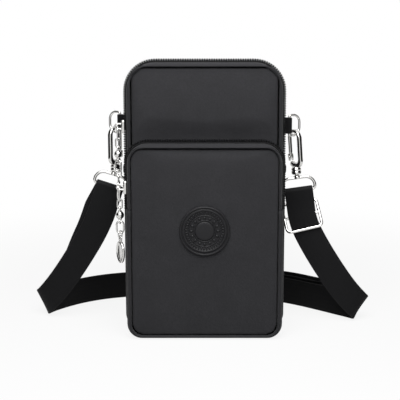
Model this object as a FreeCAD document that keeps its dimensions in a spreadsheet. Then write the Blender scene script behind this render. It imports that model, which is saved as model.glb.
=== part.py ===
import FreeCAD, Part
import math
import os

import Sketcher
from FreeCAD import Placement, Rotation, Vector

# Phone pouch: a padded zip compartment with a zip pocket on its front, two side tabs with D-rings,
# and a webbing strap held by two swivel snap hooks. Millimetres, X to the right seen from the front,
# Y to the rear, Z up. The origin is under the middle of the pouch, on the surface that it stands on.

# Driving dimensions, one cell of the sheet each.
SIZES = {
    # Main compartment
    "main_width": 112.0,
    "main_height": 190.0,
    "main_depth": 30.0,
    "main_top_radius": 22.0,
    "main_seam_inset": 5.2,
    "main_seam_radius": 10.0,
    "main_zip_setback": 10.3,
    "main_zip_end": 116.4,
    "base_radius": 10.0,
    "base_seam_rise": 2.5,
    "base_seam_radius": 8.0,
    # Front pocket
    "pocket_side_inset": 2.5,
    "pocket_height": 136.4,
    "pocket_depth": 24.0,
    "pocket_top_radius": 15.0,
    "pocket_seam_inset": 3.2,
    "pocket_seam_radius": 8.5,
    "pocket_zip_setback": 11.3,
    "pocket_zip_end": 90.5,
    "pocket_back_drop": 2.0,
    "pocket_back_radius": 12.0,
    # Fabric layers
    "shell_wall": 1.0,
    "padding_wall": 2.0,
    "lining_wall": 0.6,
    "gusset_wall": 1.4,
    "layer_gap": 0.3,
    # Zips
    "zip_width": 8.0,
    "tape_wall": 0.7,
    "tape_inset": 0.6,
    "chain_width": 3.4,
    "chain_rise": 0.5,
    "chain_gap": 0.1,
    "stop_length": 2.4,
    "slider_length": 9.0,
    "slider_wall": 0.9,
    "slider_gap": 0.35,
    "main_slider_height": 143.5,
    "pocket_slider_height": 105.0,
    "bail_rise": 5.0,
    "bail_length": 4.6,
    "bail_width": 1.6,
    "bail_bore": 2.1,
    # Zip pulls
    "pull_ring_width": 6.4,
    "pull_ring_length": 11.0,
    "pull_ring_wire": 1.2,
    "pull_link_width": 4.2,
    "pull_link_length": 7.6,
    "pull_link_wire": 1.0,
    "bead_diameter": 5.6,
    "bead_eye_width": 4.0,
    "bead_eye_wire": 1.0,
    "oval_link_width": 6.0,
    "oval_link_length": 9.4,
    "oval_link_wire": 1.2,
    "jump_ring_width": 5.4,
    "jump_ring_wire": 0.9,
    "pendant_width": 12.0,
    "pendant_length": 15.0,
    "pendant_wall": 1.8,
    "pendant_rim": 0.5,
    "pendant_eye_width": 4.6,
    "pendant_eye_wire": 1.1,
    "link_gap": 0.35,
    # Badge
    "badge_diameter": 34.0,
    "badge_rise": 1.4,
    "badge_rim": 1.6,
    "badge_step": 0.5,
    "badge_height": 77.0,
    # Side tabs and D-rings
    "tab_width": 11.2,
    "tab_wall": 0.8,
    "left_tab_height": 145.0,
    "right_tab_height": 142.7,
    "tab_setback": 21.3,
    "tab_gap": 0.3,
    "ring_bar_reach": 6.0,
    "ring_wire": 1.8,
    "ring_width": 16.2,
    "ring_reach": 11.0,
    "ring_corner": 1.4,
    "ring_round": 5.6,
    # Snap hooks
    "hook_width": 13.6,
    "hook_opening": 7.6,
    "hook_length": 28.0,
    "hook_opening_length": 21.0,
    "hook_nose": 2.6,
    "hook_wall": 3.2,
    "hook_play": 0.8,
    "hook_hang": 4.6,
    "barrel_diameter": 7.2,
    "barrel_length": 4.2,
    "barrel_bore": 5.0,
    "barrel_bore_depth": 3.0,
    "gate_width": 2.3,
    "gate_wall": 2.6,
    "gate_tongue": 1.5,
    "gate_slot": 2.1,
    "gate_gap": 0.35,
    "gate_length": 15.6,
    "gate_drop": 1.9,
    "pin_diameter": 1.2,
    "post_diameter": 2.6,
    "post_gap": 0.8,
    "eye_width": 21.6,
    "eye_height": 9.4,
    "eye_wire": 2.2,
    "eye_top_radius": 6.4,
    "eye_corner": 2.4,
    "eye_drop": 40.0,
    # Strap and adjuster
    "strap_width": 20.0,
    "strap_wall": 1.2,
    "strap_gap": 0.3,
    "left_loop_length": 17.0,
    "right_loop_length": 6.5,
    "adjuster_width": 23.4,
    "adjuster_height": 23.0,
    "adjuster_wire": 2.0,
    "adjuster_corner": 3.0,
    "adjuster_gap": 0.6,
    # Overrun of every cut
    "overrun": 5.0,
}

# Angles in degrees.
RING_YAW = 35.0
LEFT_HOOK_TILT = 0.0
RIGHT_HOOK_TILT = -4.0
LEFT_EYE_TILT = 18.0
RIGHT_EYE_TILT = -8.0
# Turns of the oval link, the jump ring and the pendant of each zip pull.
MAIN_PULL_TURNS = -30.0, 30.0, 90.0
POCKET_PULL_TURNS = 0.0, 59.0, 118.0

# Shares of a size that a shape follows.
ROUND_END_SHARE = 0.48
PENDANT_RADIUS_SHARE = 0.46
GATE_TIP_SHARE = 0.3
JUMP_RING_SHARE = 1.06

# Route of the strap along its middle line, from the left loop to the right one: place, then the
# direction of the strap's width. Chosen by hand.
LEFT_RUN = [
    ((-73.10, 19.64, 82.00), (-0.951, 0.0, 0.309)),
    ((-77.2, 19.9, 70.6), (-0.93, 0.02, 0.36)),
    ((-92.4, 21.8, 45.0), (-0.83, 0.15, 0.54)),
    ((-105.4, 24.4, 26.0), (-0.71, 0.25, 0.66)),
    ((-116.2, 28.0, 13.2), (-0.57, 0.30, 0.77)),
    ((-120.4, 33.2, 9.6), (-0.45, 0.20, 0.87)),
    ((-114.6, 40.6, 10.2), (-0.20, 0.05, 0.98)),
    ((-104.6, 51.2, 10.3), (0.0, 0.0, 1.0)),
    ((-92.4, 63.6, 10.3), (0.0, 0.0, 1.0)),
    ((-77.2, 73.4, 10.3), (0.0, 0.0, 1.0)),
    ((-60.0, 79.5, 10.3), (0.0, 0.0, 1.0)),
]
LEFT_TAIL = [
    ((-76.43, 23.64, 83.08), (-0.951, 0.0, 0.309)),
    ((-80.7, 23.2, 70.5), (-0.93, 0.02, 0.36)),
    ((-86.6, 23.6, 58.6), (-0.87, 0.10, 0.48)),
    ((-91.7, 24.8, 46.4), (-0.82, 0.16, 0.55)),
]
BACK_FOLDS = [
    ((-60.0, 79.5, 10.3), (0.0, 0.0, 1.0)),
    ((-38.0, 84.6, 10.3), (0.0, 0.0, 1.0)),
    ((-8.0, 86.8, 10.3), (0.0, 0.0, 1.0)),
    ((22.0, 87.2, 10.3), (0.0, 0.0, 1.0)),
    ((44.0, 86.8, 10.3), (0.0, 0.0, 1.0)),
    ((60.0, 84.2, 10.3), (0.0, 0.0, 1.0)),
    ((72.0, 76.6, 10.3), (0.0, 0.0, 1.0)),
    ((83.4, 66.4, 10.3), (0.0, 0.0, 1.0)),
    ((91.4, 59.3, 10.3), (0.0, 0.0, 1.0)),
    ((90.7, 54.1, 10.3), (0.0, 0.0, 1.0)),
    ((85.5, 52.7, 10.3), (0.0, 0.0, 1.0)),
    ((77.5, 59.8, 10.3), (0.0, 0.0, 1.0)),
    ((65.0, 71.0, 10.3), (0.0, 0.0, 1.0)),
    ((49.0, 78.0, 10.3), (0.0, 0.0, 1.0)),
    ((22.0, 79.0, 10.3), (0.0, 0.0, 1.0)),
    ((-8.0, 78.6, 10.3), (0.0, 0.0, 1.0)),
    ((-28.0, 77.8, 10.3), (0.0, 0.0, 1.0)),
    ((-39.6, 77.2, 10.3), (0.0, 0.0, 1.0)),
    ((-42.2, 73.0, 10.3), (0.0, 0.0, 1.0)),
    ((-39.6, 68.8, 10.3), (0.0, 0.0, 1.0)),
    ((-28.0, 69.2, 10.3), (0.0, 0.0, 1.0)),
    ((-8.0, 69.9, 10.3), (0.0, 0.0, 1.0)),
    ((18.0, 70.5, 10.3), (0.0, 0.0, 1.0)),
    ((40.0, 70.2, 10.3), (0.0, 0.0, 1.0)),
]
RIGHT_RUN = [
    ((40.0, 70.2, 10.3), (0.0, 0.0, 1.0)),
    ((55.6, 66.8, 10.3), (0.0, 0.0, 1.0)),
    ((70.0, 56.9, 10.3), (0.0, 0.0, 1.0)),
    ((83.0, 45.5, 10.3), (0.0, 0.0, 1.0)),
    ((95.0, 35.0, 10.3), (0.06, 0.02, 0.99)),
    ((106.4, 26.6, 10.3), (0.30, 0.15, 0.94)),
    ((114.0, 20.0, 9.6), (0.58, 0.26, 0.77)),
    ((110.4, 16.6, 13.0), (0.66, 0.22, 0.71)),
    ((100.8, 15.6, 23.4), (0.73, 0.12, 0.67)),
    ((89.6, 15.6, 39.4), (0.81, 0.04, 0.58)),
    ((79.6, 16.4, 55.4), (0.86, 0.0, 0.51)),
    ((72.2, 18.0, 69.2), (0.90, 0.0, 0.43)),
]
ADJUSTER_SPOT = (69.5, 19.0, 77.8), (0.94, 0.0, 0.33)
RIGHT_END = [
    ((68.76, 19.52, 83.7), (0.98, 0.0, 0.2)),
    ((68.04, 19.64, 88.92), (0.99, 0.0, 0.139)),
]
FIXED_END = [
    ((68.04, 23.64, 88.92), (0.99, 0.0, 0.139)),
    ((68.84, 23.6, 83.2), (0.98, 0.0, 0.2)),
    ((69.9, 23.4, 76.8), (0.94, 0.0, 0.33)),
]

# Share of the shorter run that each rounded corner of the strap takes, and the shares of the way
# round it where a cross-section stands.
ARC_SHARE = 0.45
ARC_STEP_SHARES = 0.0, 0.17, 0.33, 0.5, 0.67, 0.83, 1.0

doc = FreeCAD.newDocument("phone_pouch")
sheet = doc.addObject("Spreadsheet::Sheet", "dims")
for row, (alias, number) in enumerate(SIZES.items(), start=1):
    sheet.set(f"A{row}", alias)
    sheet.set(f"B{row}", str(number))
    sheet.setAlias(f"B{row}", alias)
doc.recompute()


class Size:
    """A length together with its formula in the sheet, so that sums of sizes stay bound to it."""

    def __init__(self, text, value):
        self.text = text
        self.value = value

    def __add__(self, other):
        return Size(f"({self.text} + {other.text})", self.value + other.value)

    def __sub__(self, other):
        return Size(f"({self.text} - {other.text})", self.value - other.value)

    def __neg__(self):
        return Size(f"(-{self.text})", -self.value)

    def __mul__(self, share):
        return Size(f"({self.text} * {share})", self.value * share)

    def __truediv__(self, count):
        return Size(f"({self.text} / {count})", self.value / count)


def size(alias):
    """One driving dimension of the sheet."""
    return Size(f"dims.{alias}", float(sheet.get(alias)))


ZERO = size("main_width") * 0
main_half = size("main_width") / 2
pocket_half = main_half - size("pocket_side_inset")
strap_half = size("strap_width") / 2

# Planes from front to rear.
depth = size("badge_rise") + size("pocket_depth") + size("main_depth")
pocket_face = size("badge_rise") - depth / 2
main_face = pocket_face + size("pocket_depth")
rear_face = main_face + size("main_depth")
main_zip_y = main_face + size("main_zip_setback")
pocket_zip_y = pocket_face + size("pocket_zip_setback")
tab_y = main_face + size("tab_setback")


class Outline:
    """A rounded rectangle, upright and centred on the middle of the pouch."""

    def __init__(self, half, bottom, top, bottom_radius, top_radius):
        self.half = half
        self.bottom = bottom
        self.top = top
        self.bottom_radius = bottom_radius
        self.top_radius = top_radius

    def inset(self, wall):
        """The same outline, smaller by a wall all round."""
        return Outline(
            self.half - wall,
            self.bottom + wall,
            self.top - wall,
            self.bottom_radius - wall,
            self.top_radius - wall,
        )


main_rim = Outline(
    main_half, ZERO, size("main_height"), size("base_radius"), size("main_top_radius")
)
main_seam = Outline(
    main_half - size("main_seam_inset"),
    size("base_seam_rise"),
    size("main_height") - size("main_seam_inset"),
    size("base_seam_radius"),
    size("main_seam_radius"),
)
pocket_rim = Outline(
    pocket_half, ZERO, size("pocket_height"), size("base_radius"), size("pocket_top_radius")
)
pocket_seam = Outline(
    pocket_half - size("pocket_seam_inset"),
    size("base_seam_rise"),
    size("pocket_height") - size("pocket_seam_inset"),
    size("base_seam_radius"),
    size("pocket_seam_radius"),
)
pocket_back = Outline(
    main_half - size("main_seam_inset"),
    size("base_seam_rise"),
    size("pocket_height") - size("pocket_back_drop"),
    size("base_seam_radius"),
    size("pocket_back_radius"),
)

nodes = []


def new_body(label):
    """An empty body that becomes one sub-part."""
    body = doc.addObject("PartDesign::Body", label)
    body.Label = label
    nodes.append(body)
    return body


def new_sketch(body, role, offset):
    """A sketch on one of the body's own planes, moved along that plane's normal."""
    plane = next(f for f in body.Origin.OriginFeatures if f.Role == role)
    sketch = body.newObject("Sketcher::SketchObject", f"{body.Name}_sketch")
    sketch.AttachmentSupport = [(plane, "")]
    sketch.MapMode = "FlatFace"
    sketch.setExpression("AttachmentOffset.Base.z", offset.text)
    return sketch


def dimension(sketch, kind, *where, to):
    """A driving constraint whose value is bound to the sheet."""
    index = sketch.addConstraint(Sketcher.Constraint(kind, *where, to.value))
    sketch.setExpression(f"Constraints[{index}]", to.text)


def draw_outline(sketch, outline):
    """Four lines and four tangent arcs round an outline."""
    x, low, high = outline.half.value, outline.bottom.value, outline.top.value
    foot, head = outline.bottom_radius.value, outline.top_radius.value
    first = sketch.GeometryCount
    corners = [
        (x - foot, low + foot, foot),
        (x - head, high - head, head),
        (head - x, high - head, head),
        (foot - x, low + foot, foot),
    ]
    quarter = math.pi / 2
    arcs = []
    for turn, (across, up, radius) in enumerate(corners):
        circle = Part.Circle(Vector(across, up, 0), Vector(0, 0, 1), radius)
        arcs.append(Part.ArcOfCircle(circle, quarter * (turn - 1), quarter * turn))
    for i in range(4):
        before = arcs[i - 1]
        sketch.addGeometry(Part.LineSegment(before.EndPoint, arcs[i].StartPoint), False)
        sketch.addGeometry(arcs[i], False)
    for i in range(8):
        joined = first + i, 2, first + (i + 1) % 8, 1
        sketch.addConstraint(Sketcher.Constraint("Tangent", *joined))
    for i, kind in enumerate(("Horizontal", "Vertical", "Horizontal", "Vertical")):
        sketch.addConstraint(Sketcher.Constraint(kind, first + 2 * i))
    sketch.addConstraint(Sketcher.Constraint("Equal", first + 1, first + 7))
    sketch.addConstraint(Sketcher.Constraint("Equal", first + 3, first + 5))
    dimension(sketch, "Radius", first + 1, to=outline.bottom_radius)
    dimension(sketch, "Radius", first + 3, to=outline.top_radius)
    dimension(sketch, "DistanceX", -1, 1, first + 2, 1, to=outline.half)
    dimension(sketch, "DistanceX", first + 6, 1, -1, 1, to=outline.half)
    dimension(sketch, "DistanceY", -1, 1, first, 1, to=outline.bottom)
    dimension(sketch, "DistanceY", -1, 1, first + 4, 1, to=outline.top)


def draw_polygon(sketch, points):
    """A closed polygon whose corners are each bound to the sheet."""
    first = sketch.GeometryCount
    count = len(points)
    spots = [Vector(across.value, up.value, 0) for across, up in points]
    for i in range(count):
        sketch.addGeometry(Part.LineSegment(spots[i], spots[(i + 1) % count]), False)
    for i in range(count):
        sketch.addConstraint(
            Sketcher.Constraint("Coincident", first + i, 2, first + (i + 1) % count, 1)
        )
    for i, (across, up) in enumerate(points):
        dimension(sketch, "DistanceX", -1, 1, first + i, 1, to=across)
        dimension(sketch, "DistanceY", -1, 1, first + i, 1, to=up)


def draw_circle(sketch, across, up, diameter):
    """A circle bound to the sheet."""
    centre = Vector(across.value, up.value, 0)
    index = sketch.addGeometry(Part.Circle(centre, Vector(0, 0, 1), diameter.value / 2), False)
    dimension(sketch, "DistanceX", -1, 1, index, 3, to=across)
    dimension(sketch, "DistanceY", -1, 1, index, 3, to=up)
    dimension(sketch, "Diameter", index, to=diameter)


def box_corners(left, right, low, high):
    """The corners of a rectangle."""
    return [(left, low), (right, low), (right, high), (left, high)]


def pad(body, sketch, length, side="One side", reverse=False):
    """Extrude a sketch."""
    feature = body.newObject("PartDesign::Pad", f"{body.Name}_pad")
    feature.Profile = sketch
    feature.SideType = side
    feature.Reversed = reverse
    feature.setExpression("Length", length.text)
    return feature


def cut(body, sketch, side="One side", reverse=False, length=None):
    """Cut a sketch out of the body, right through where no length is given."""
    feature = body.newObject("PartDesign::Pocket", f"{body.Name}_cut")
    feature.Profile = sketch
    feature.SideType = side
    feature.Reversed = reverse
    if length is None:
        feature.Type = "ThroughAll"
    else:
        feature.setExpression("Length", length.text)
    return feature


def loft(body, kind, stations):
    """A ruled loft through outlines at their places from front to rear."""
    sketches = []
    for place, outline in stations:
        sketch = new_sketch(body, "XZ_Plane", -place)
        draw_outline(sketch, outline)
        sketches.append(sketch)
    feature = body.newObject(f"PartDesign::{kind}", f"{body.Name}_loft")
    feature.Profile = sketches[0]
    feature.Sections = sketches[1:]
    feature.Ruled = True
    return feature


def plate(label, outline, front, wall):
    """A flat layer of fabric, foam or lining."""
    body = new_body(label)
    sketch = new_sketch(body, "XZ_Plane", -front)
    draw_outline(sketch, outline)
    pad(body, sketch, wall, reverse=True)
    return body


def band(label, stations, wall, level, keep_upper):
    """A strip that runs round the pouch through outlines, kept above or below a level."""
    body = new_body(label)
    loft(body, "AdditiveLoft", stations)
    loft(body, "SubtractiveLoft", [(place, outline.inset(wall)) for place, outline in stations])
    sketch = new_sketch(body, "XY_Plane", level)
    reach = main_half + size("overrun")
    draw_polygon(sketch, box_corners(-reach, reach, -depth, depth))
    doc.recompute()
    cut(body, sketch, reverse=not keep_upper)
    return body


def wire_loop(label, outline, wire):
    """A closed ring of round wire along an outline in the body's own XZ plane."""
    body = new_body(label)
    spine = new_sketch(body, "XZ_Plane", ZERO)
    draw_outline(spine, outline)
    profile = new_sketch(body, "XY_Plane", (outline.top + outline.bottom) / 2)
    draw_circle(profile, outline.half, ZERO, wire)
    pipe = body.newObject("PartDesign::AdditivePipe", f"{body.Name}_pipe")
    pipe.Profile = profile
    pipe.Spine = spine
    return body


def link_outline(width, length, wire):
    """The middle line of an oval link that hangs from the origin, inside its own top."""
    half = (width - wire) / 2
    radius = half * (ROUND_END_SHARE * 2)
    return Outline(half, wire - length, ZERO, radius, radius)


def panel_layers(names, outline, face, rearward):
    """Shell, padding and lining of a panel, stacked from its face inwards."""
    wall = size("gusset_wall") + size("layer_gap")
    inner = outline.inset(wall)
    walls = size("shell_wall"), size("padding_wall"), size("lining_wall")
    front = face
    for name, thickness, edge in zip(names, walls, (outline, inner, inner)):
        if rearward:
            plate(name, edge, front, thickness)
            front = front + thickness
        else:
            front = front - thickness
            plate(name, edge, front, thickness)


def zip_closure(prefix, rim, middle, level):
    """Two tapes, the chain between them and the stops at the two ends of a zip."""
    tape = rim.inset(size("tape_inset"))
    edge = size("zip_width") / 2
    band(f"{prefix}_zip_tape_front", [(middle - edge, tape), (middle, tape)],
         size("tape_wall"), level, True)
    band(f"{prefix}_zip_tape_rear", [(middle, tape), (middle + edge, tape)],
         size("tape_wall"), level, True)
    chain = rim.inset(-size("chain_rise"))
    side = size("chain_width") / 2
    band(f"{prefix}_zip_chain", [(middle - side, chain), (middle + side, chain)],
         size("chain_rise") + size("tape_inset") - size("chain_gap"), level, True)
    stops = new_body(f"{prefix}_zip_stops")
    sketch = new_sketch(stops, "XY_Plane", level)
    for near, far in ((rim.half, chain.half), (-rim.half, -chain.half)):
        draw_polygon(sketch, box_corners(near, far, middle - side, middle + side))
    stops.AllowCompound = True
    pad(stops, sketch, size("stop_length"), reverse=True)


def gussets(prefix, seam, rim, back, front_face, middle, rear, level):
    """The strip before the zip, the strip behind it and the closed strip round the bottom."""
    edge = size("zip_width") / 2
    wall = size("gusset_wall")
    before = [(front_face + size("shell_wall"), seam), (middle - edge, rim)]
    behind = [(middle + edge, rim), (rear, back)]
    band(f"{prefix}_front_gusset", before, wall, level, True)
    band(f"{prefix}_rear_gusset", behind, wall, level, True)
    band(f"{prefix}_bottom_gusset", before + behind, wall, level, False)


def badge():
    """A round moulded badge with a raised rim."""
    body = new_body("badge")
    sketch = new_sketch(body, "XZ_Plane", -pocket_face)
    draw_circle(sketch, ZERO, size("badge_height"), size("badge_diameter"))
    pad(body, sketch, size("badge_rise"))
    doc.recompute()
    face = new_sketch(body, "XZ_Plane", size("badge_rise") - pocket_face)
    inner = size("badge_diameter") - size("badge_rim") * 2
    draw_circle(face, ZERO, size("badge_height"), inner)
    cut(body, face, length=size("badge_step"))


def slider(label, rim_half, middle, height):
    """A zip slider on the left side: a channel over the chain with a bored bail on it."""
    body = new_body(label)
    inner = size("chain_width") / 2 + size("slider_gap")
    outer = inner + size("slider_wall")
    foot = size("slider_gap") - size("tape_inset")
    roof = size("chain_rise") + size("slider_gap")
    top = roof + size("slider_wall")
    section = new_sketch(body, "XY_Plane", -size("slider_length") / 2)
    draw_polygon(section, [
        (foot, -outer), (top, -outer), (top, outer), (foot, outer),
        (foot, inner), (roof, inner), (roof, -inner), (foot, -inner),
    ])
    pad(body, section, size("slider_length"))
    rib = new_sketch(body, "XZ_Plane", ZERO)
    half = size("bail_length") / 2
    draw_polygon(rib, box_corners(top, top + size("bail_rise"), -half, half))
    pad(body, rib, size("bail_width"), side="Symmetric")
    doc.recompute()
    bore = new_sketch(body, "XZ_Plane", ZERO)
    draw_circle(bore, top + size("bail_rise") / 2, ZERO, size("bail_bore"))
    cut(body, bore, side="Symmetric")
    place = Vector(-rim_half.value, middle.value, height.value)
    body.Placement = Placement(place, Rotation(Vector(0, 0, 1), 180))
    return Vector(place.x - (top + size("bail_rise") / 2).value, place.y, place.z)


def place_link(body, top, turn):
    """Hang a link by the middle of its top wire."""
    body.Placement = Placement(top, Rotation(Vector(0, 0, 1), turn))


def pull(prefix, bail, turns):
    """The chain pull that hangs on a slider's bail, from its ring to its pendant."""
    oval_turn, jump_turn, pendant_turn = turns
    ring_wire = size("pull_ring_wire")
    link_wire = size("pull_link_wire")
    eye_wire = size("bead_eye_wire")
    oval_wire = size("oval_link_wire")
    jump_wire = size("jump_ring_wire")
    hang_wire = size("pendant_eye_wire")
    gap = size("link_gap")

    def seat(upper, lower):
        """Rise of the next link's top wire inside the bottom of the link above it."""
        return (upper + lower) / 2 + gap

    ring = link_outline(size("pull_ring_width"), size("pull_ring_length"), ring_wire)
    place_link(wire_loop(f"{prefix}_pull_ring", ring, ring_wire), bail, 90)
    spot = bail + Vector(0, 0, (ring.bottom + seat(ring_wire, link_wire)).value)

    link = link_outline(size("pull_link_width"), size("pull_link_length"), link_wire)
    place_link(wire_loop(f"{prefix}_pull_link", link, link_wire), spot, 0)
    spot = spot + Vector(0, 0, (link.bottom + seat(link_wire, eye_wire)).value)

    drop = bead(f"{prefix}_pull_bead", spot)
    spot = spot + Vector(0, 0, (seat(eye_wire, oval_wire) - drop).value)

    oval = link_outline(size("oval_link_width"), size("oval_link_length"), oval_wire)
    place_link(wire_loop(f"{prefix}_pull_oval_link", oval, oval_wire), spot, oval_turn)
    spot = spot + Vector(0, 0, (oval.bottom + seat(oval_wire, jump_wire)).value)

    width = size("jump_ring_width")
    jump = link_outline(width, width * JUMP_RING_SHARE, jump_wire)
    place_link(wire_loop(f"{prefix}_pull_jump_ring", jump, jump_wire), spot, jump_turn)
    spot = spot + Vector(0, 0, (jump.bottom + seat(jump_wire, hang_wire)).value)
    pendant(f"{prefix}_pull_pendant", spot, pendant_turn)


def fuse(label, shapes):
    """One sub-part from primitives that run into each other."""
    joined = doc.addObject("Part::MultiFuse", label)
    joined.Label = label
    joined.Shapes = shapes
    joined.Refine = True
    nodes.append(joined)
    return joined


def eye_ring(name, width, wire, height):
    """A small round eye in the YZ plane, at a height above the piece's own origin."""
    ring = doc.addObject("Part::Torus", name)
    ring.setExpression("Radius1", ((width - wire) / 2).text)
    ring.setExpression("Radius2", (wire / 2).text)
    ring.Placement.Rotation = Rotation(Vector(0, 1, 0), 90)
    ring.setExpression("Placement.Base.z", height.text)
    return ring


def bead(label, spot):
    """A ball with an eye above and below; returns the drop from its top wire to its bottom wire."""
    eye = size("bead_eye_width")
    wire = size("bead_eye_wire")
    ball = doc.addObject("Part::Sphere", f"{label}_ball")
    ball.setExpression("Radius", (size("bead_diameter") / 2).text)
    upper_middle = -(eye - wire) / 2
    ball_middle = upper_middle - eye / 2 - size("bead_diameter") / 2 + wire / 2
    ball.setExpression("Placement.Base.z", ball_middle.text)
    lower_middle = ball_middle * 2 - upper_middle
    upper = eye_ring(f"{label}_upper_eye", eye, wire, upper_middle)
    lower = eye_ring(f"{label}_lower_eye", eye, wire, lower_middle)
    fuse(label, [ball, upper, lower]).Placement.Base = spot
    return -(lower_middle - (eye - wire) / 2)


def pendant(label, spot, turn):
    """A blank oval medallion with a raised rim on both faces and an eye at its top."""
    body = new_body(label)
    eye = size("pendant_eye_width")
    wire = size("pendant_eye_wire")
    top = wire / 2 - eye
    half = size("pendant_width") / 2
    radius = size("pendant_width") * PENDANT_RADIUS_SHARE
    disc = Outline(half, top - size("pendant_length"), top + wire, radius, radius)
    sketch = new_sketch(body, "XZ_Plane", ZERO)
    draw_outline(sketch, disc)
    pad(body, sketch, size("pendant_wall"), side="Symmetric")
    doc.recompute()
    hollow = disc.inset(wire)
    step = size("pendant_wall") / 2 - size("pendant_rim")
    for offset, reverse in ((step, True), (-step, False)):
        field = new_sketch(body, "XZ_Plane", offset)
        draw_outline(field, hollow)
        cut(body, field, reverse=reverse)
        doc.recompute()
    spine = new_sketch(body, "XZ_Plane", ZERO)
    draw_circle(spine, ZERO, -(eye - wire) / 2, eye - wire)
    profile = new_sketch(body, "XY_Plane", -(eye - wire) / 2)
    draw_circle(profile, (eye - wire) / 2, ZERO, wire)
    pipe = body.newObject("PartDesign::AdditivePipe", f"{body.Name}_eye")
    pipe.Profile = profile
    pipe.Spine = spine
    place_link(body, spot, turn)


def side_tab(side, sign):
    """A tab of webbing that leaves the rear gusset and wraps the bar of a D-ring."""
    body = new_body(f"{side}_tab")
    hole = size("ring_wire") + size("tab_gap") * 2
    half = hole / 2 + size("tab_wall")
    reach = size("ring_bar_reach")
    near = side_reach(tab_y - half) - side_reach(tab_y)
    far = side_reach(tab_y + half) - side_reach(tab_y)
    layers = new_sketch(body, "YZ_Plane", ZERO)
    draw_polygon(layers, [(-half, near), (half, far), (half, reach), (-half, reach)])
    pad(body, layers, size("tab_width"), side="Symmetric")
    fold = new_sketch(body, "YZ_Plane", ZERO)
    draw_circle(fold, ZERO, reach, half * 2)
    pad(body, fold, size("tab_width"), side="Symmetric")
    doc.recompute()
    bore = new_sketch(body, "YZ_Plane", ZERO)
    draw_circle(bore, ZERO, reach, hole)
    cut(body, bore, side="Symmetric")
    face = Vector(sign * side_reach(tab_y).value, tab_y.value, tab_height(side).value)
    body.Placement = Placement(face, side_turn(sign))


def tab_height(side):
    """Height of the middle of a side tab."""
    return size(f"{side}_tab_height")


def side_reach(place):
    """Half width of the pouch's side at a place on the rear gusset."""
    start = main_zip_y + size("zip_width") / 2
    end = rear_face - size("shell_wall")
    share = (place.value - start.value) / (end.value - start.value)
    return main_half - size("main_seam_inset") * share


def side_turn(sign):
    """Turn a piece drawn upright so that its up points out of one side of the pouch."""
    return Rotation(Vector(0, 1, 0), 90 * sign)


def ring_outline():
    """Middle line of a D-ring, with its bar at the bottom."""
    wire = size("ring_wire")
    half = (size("ring_width") - wire) / 2
    return Outline(half, ZERO, size("ring_reach") - wire, size("ring_corner"), size("ring_round"))


def ring_turn(sign):
    """Turn of a D-ring about its bar, towards the rear."""
    return Rotation(Vector(0, 0, 1), RING_YAW * sign)


def d_ring(side, sign):
    """A D-ring whose bar stands upright in the fold of a tab."""
    body = wire_loop(f"{side}_d_ring", ring_outline(), size("ring_wire"))
    body.Placement = Placement(ring_bar(side, sign), ring_turn(sign) * side_turn(sign))


def ring_bar(side, sign):
    """Middle of a D-ring's bar."""
    across = side_reach(tab_y) + size("ring_bar_reach")
    return Vector(sign * across.value, tab_y.value, tab_height(side).value)


def hook_frame(side, sign, tilt):
    """Where a hook hangs on its D-ring: its origin on the barrel's axis, its tilt, its full turn."""
    lean = Rotation(Vector(0, 1, 0), tilt)
    turn = lean * Rotation(Vector(0, 0, 1), RING_YAW * sign - 90)
    ring = ring_outline()
    radius = ring.top_radius.value
    past = max(size("hook_hang").value - ring.top.value + radius, 0)
    low = ring.half.value - radius + math.sqrt(radius ** 2 - past ** 2)
    out = ring_turn(sign).multVec(Vector(sign * size("hook_hang").value, 0, -low))
    return ring_bar(side, sign) + out, lean, turn


def hook_levels():
    """Heights on a hook above the D-ring's wire: inside top, inside bottom, loop bottom, barrel end."""
    inside_top = size("ring_wire") / 2 + size("hook_play")
    inside_bottom = inside_top - size("hook_opening_length")
    loop_bottom = inside_top + size("hook_nose") - size("hook_length")
    return inside_top, inside_bottom, loop_bottom, loop_bottom - size("barrel_length")


def snap_hook(side, place, turn):
    """The hook's body: a flat loop, open on one side for the gate, on a bored barrel."""
    body = new_body(f"{side}_hook")
    inside_top, inside_bottom, loop_bottom, barrel_end = hook_levels()
    half = size("hook_width") / 2
    clear = size("hook_opening") / 2
    outer = Outline(half, loop_bottom, inside_top + size("hook_nose"),
                    half * (2 * ROUND_END_SHARE), half * (2 * ROUND_END_SHARE))
    inner = Outline(clear, inside_bottom, inside_top, clear * ROUND_END_SHARE,
                    clear * (2 * ROUND_END_SHARE))
    sketch = new_sketch(body, "XZ_Plane", ZERO)
    draw_outline(sketch, outer)
    draw_outline(sketch, inner)
    pad(body, sketch, size("hook_wall"), side="Symmetric")
    barrel = new_sketch(body, "XY_Plane", barrel_end)
    draw_circle(barrel, ZERO, ZERO, size("barrel_diameter"))
    pad(body, barrel, loop_bottom + size("hook_nose") / 2 - barrel_end)
    doc.recompute()
    bore = new_sketch(body, "XY_Plane", barrel_end)
    draw_circle(bore, ZERO, ZERO, size("barrel_bore"))
    cut(body, bore, reverse=True, length=size("barrel_bore_depth"))
    doc.recompute()
    mouth = new_sketch(body, "XZ_Plane", ZERO)
    tip, pivot = gate_levels()
    far = half + size("overrun")
    draw_polygon(mouth, box_corners(-far, -clear / 2, pivot + size("gate_width"),
                                    tip + size("gate_gap")))
    cut(body, mouth, side="Symmetric")
    doc.recompute()
    slot = new_sketch(body, "XZ_Plane", ZERO)
    draw_polygon(slot, box_corners(-far, -clear / 2, pivot - size("gate_width"),
                                   pivot + size("gate_width") + size("gate_gap")))
    groove = cut(body, slot, side="Symmetric", length=size("gate_slot"))
    groove.Type = "Length"
    doc.recompute()
    hole = new_sketch(body, "XZ_Plane", ZERO)
    draw_circle(hole, gate_across(), pivot, size("pin_diameter"))
    cut(body, hole, side="Symmetric")
    body.Placement = Placement(place, turn)


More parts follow.
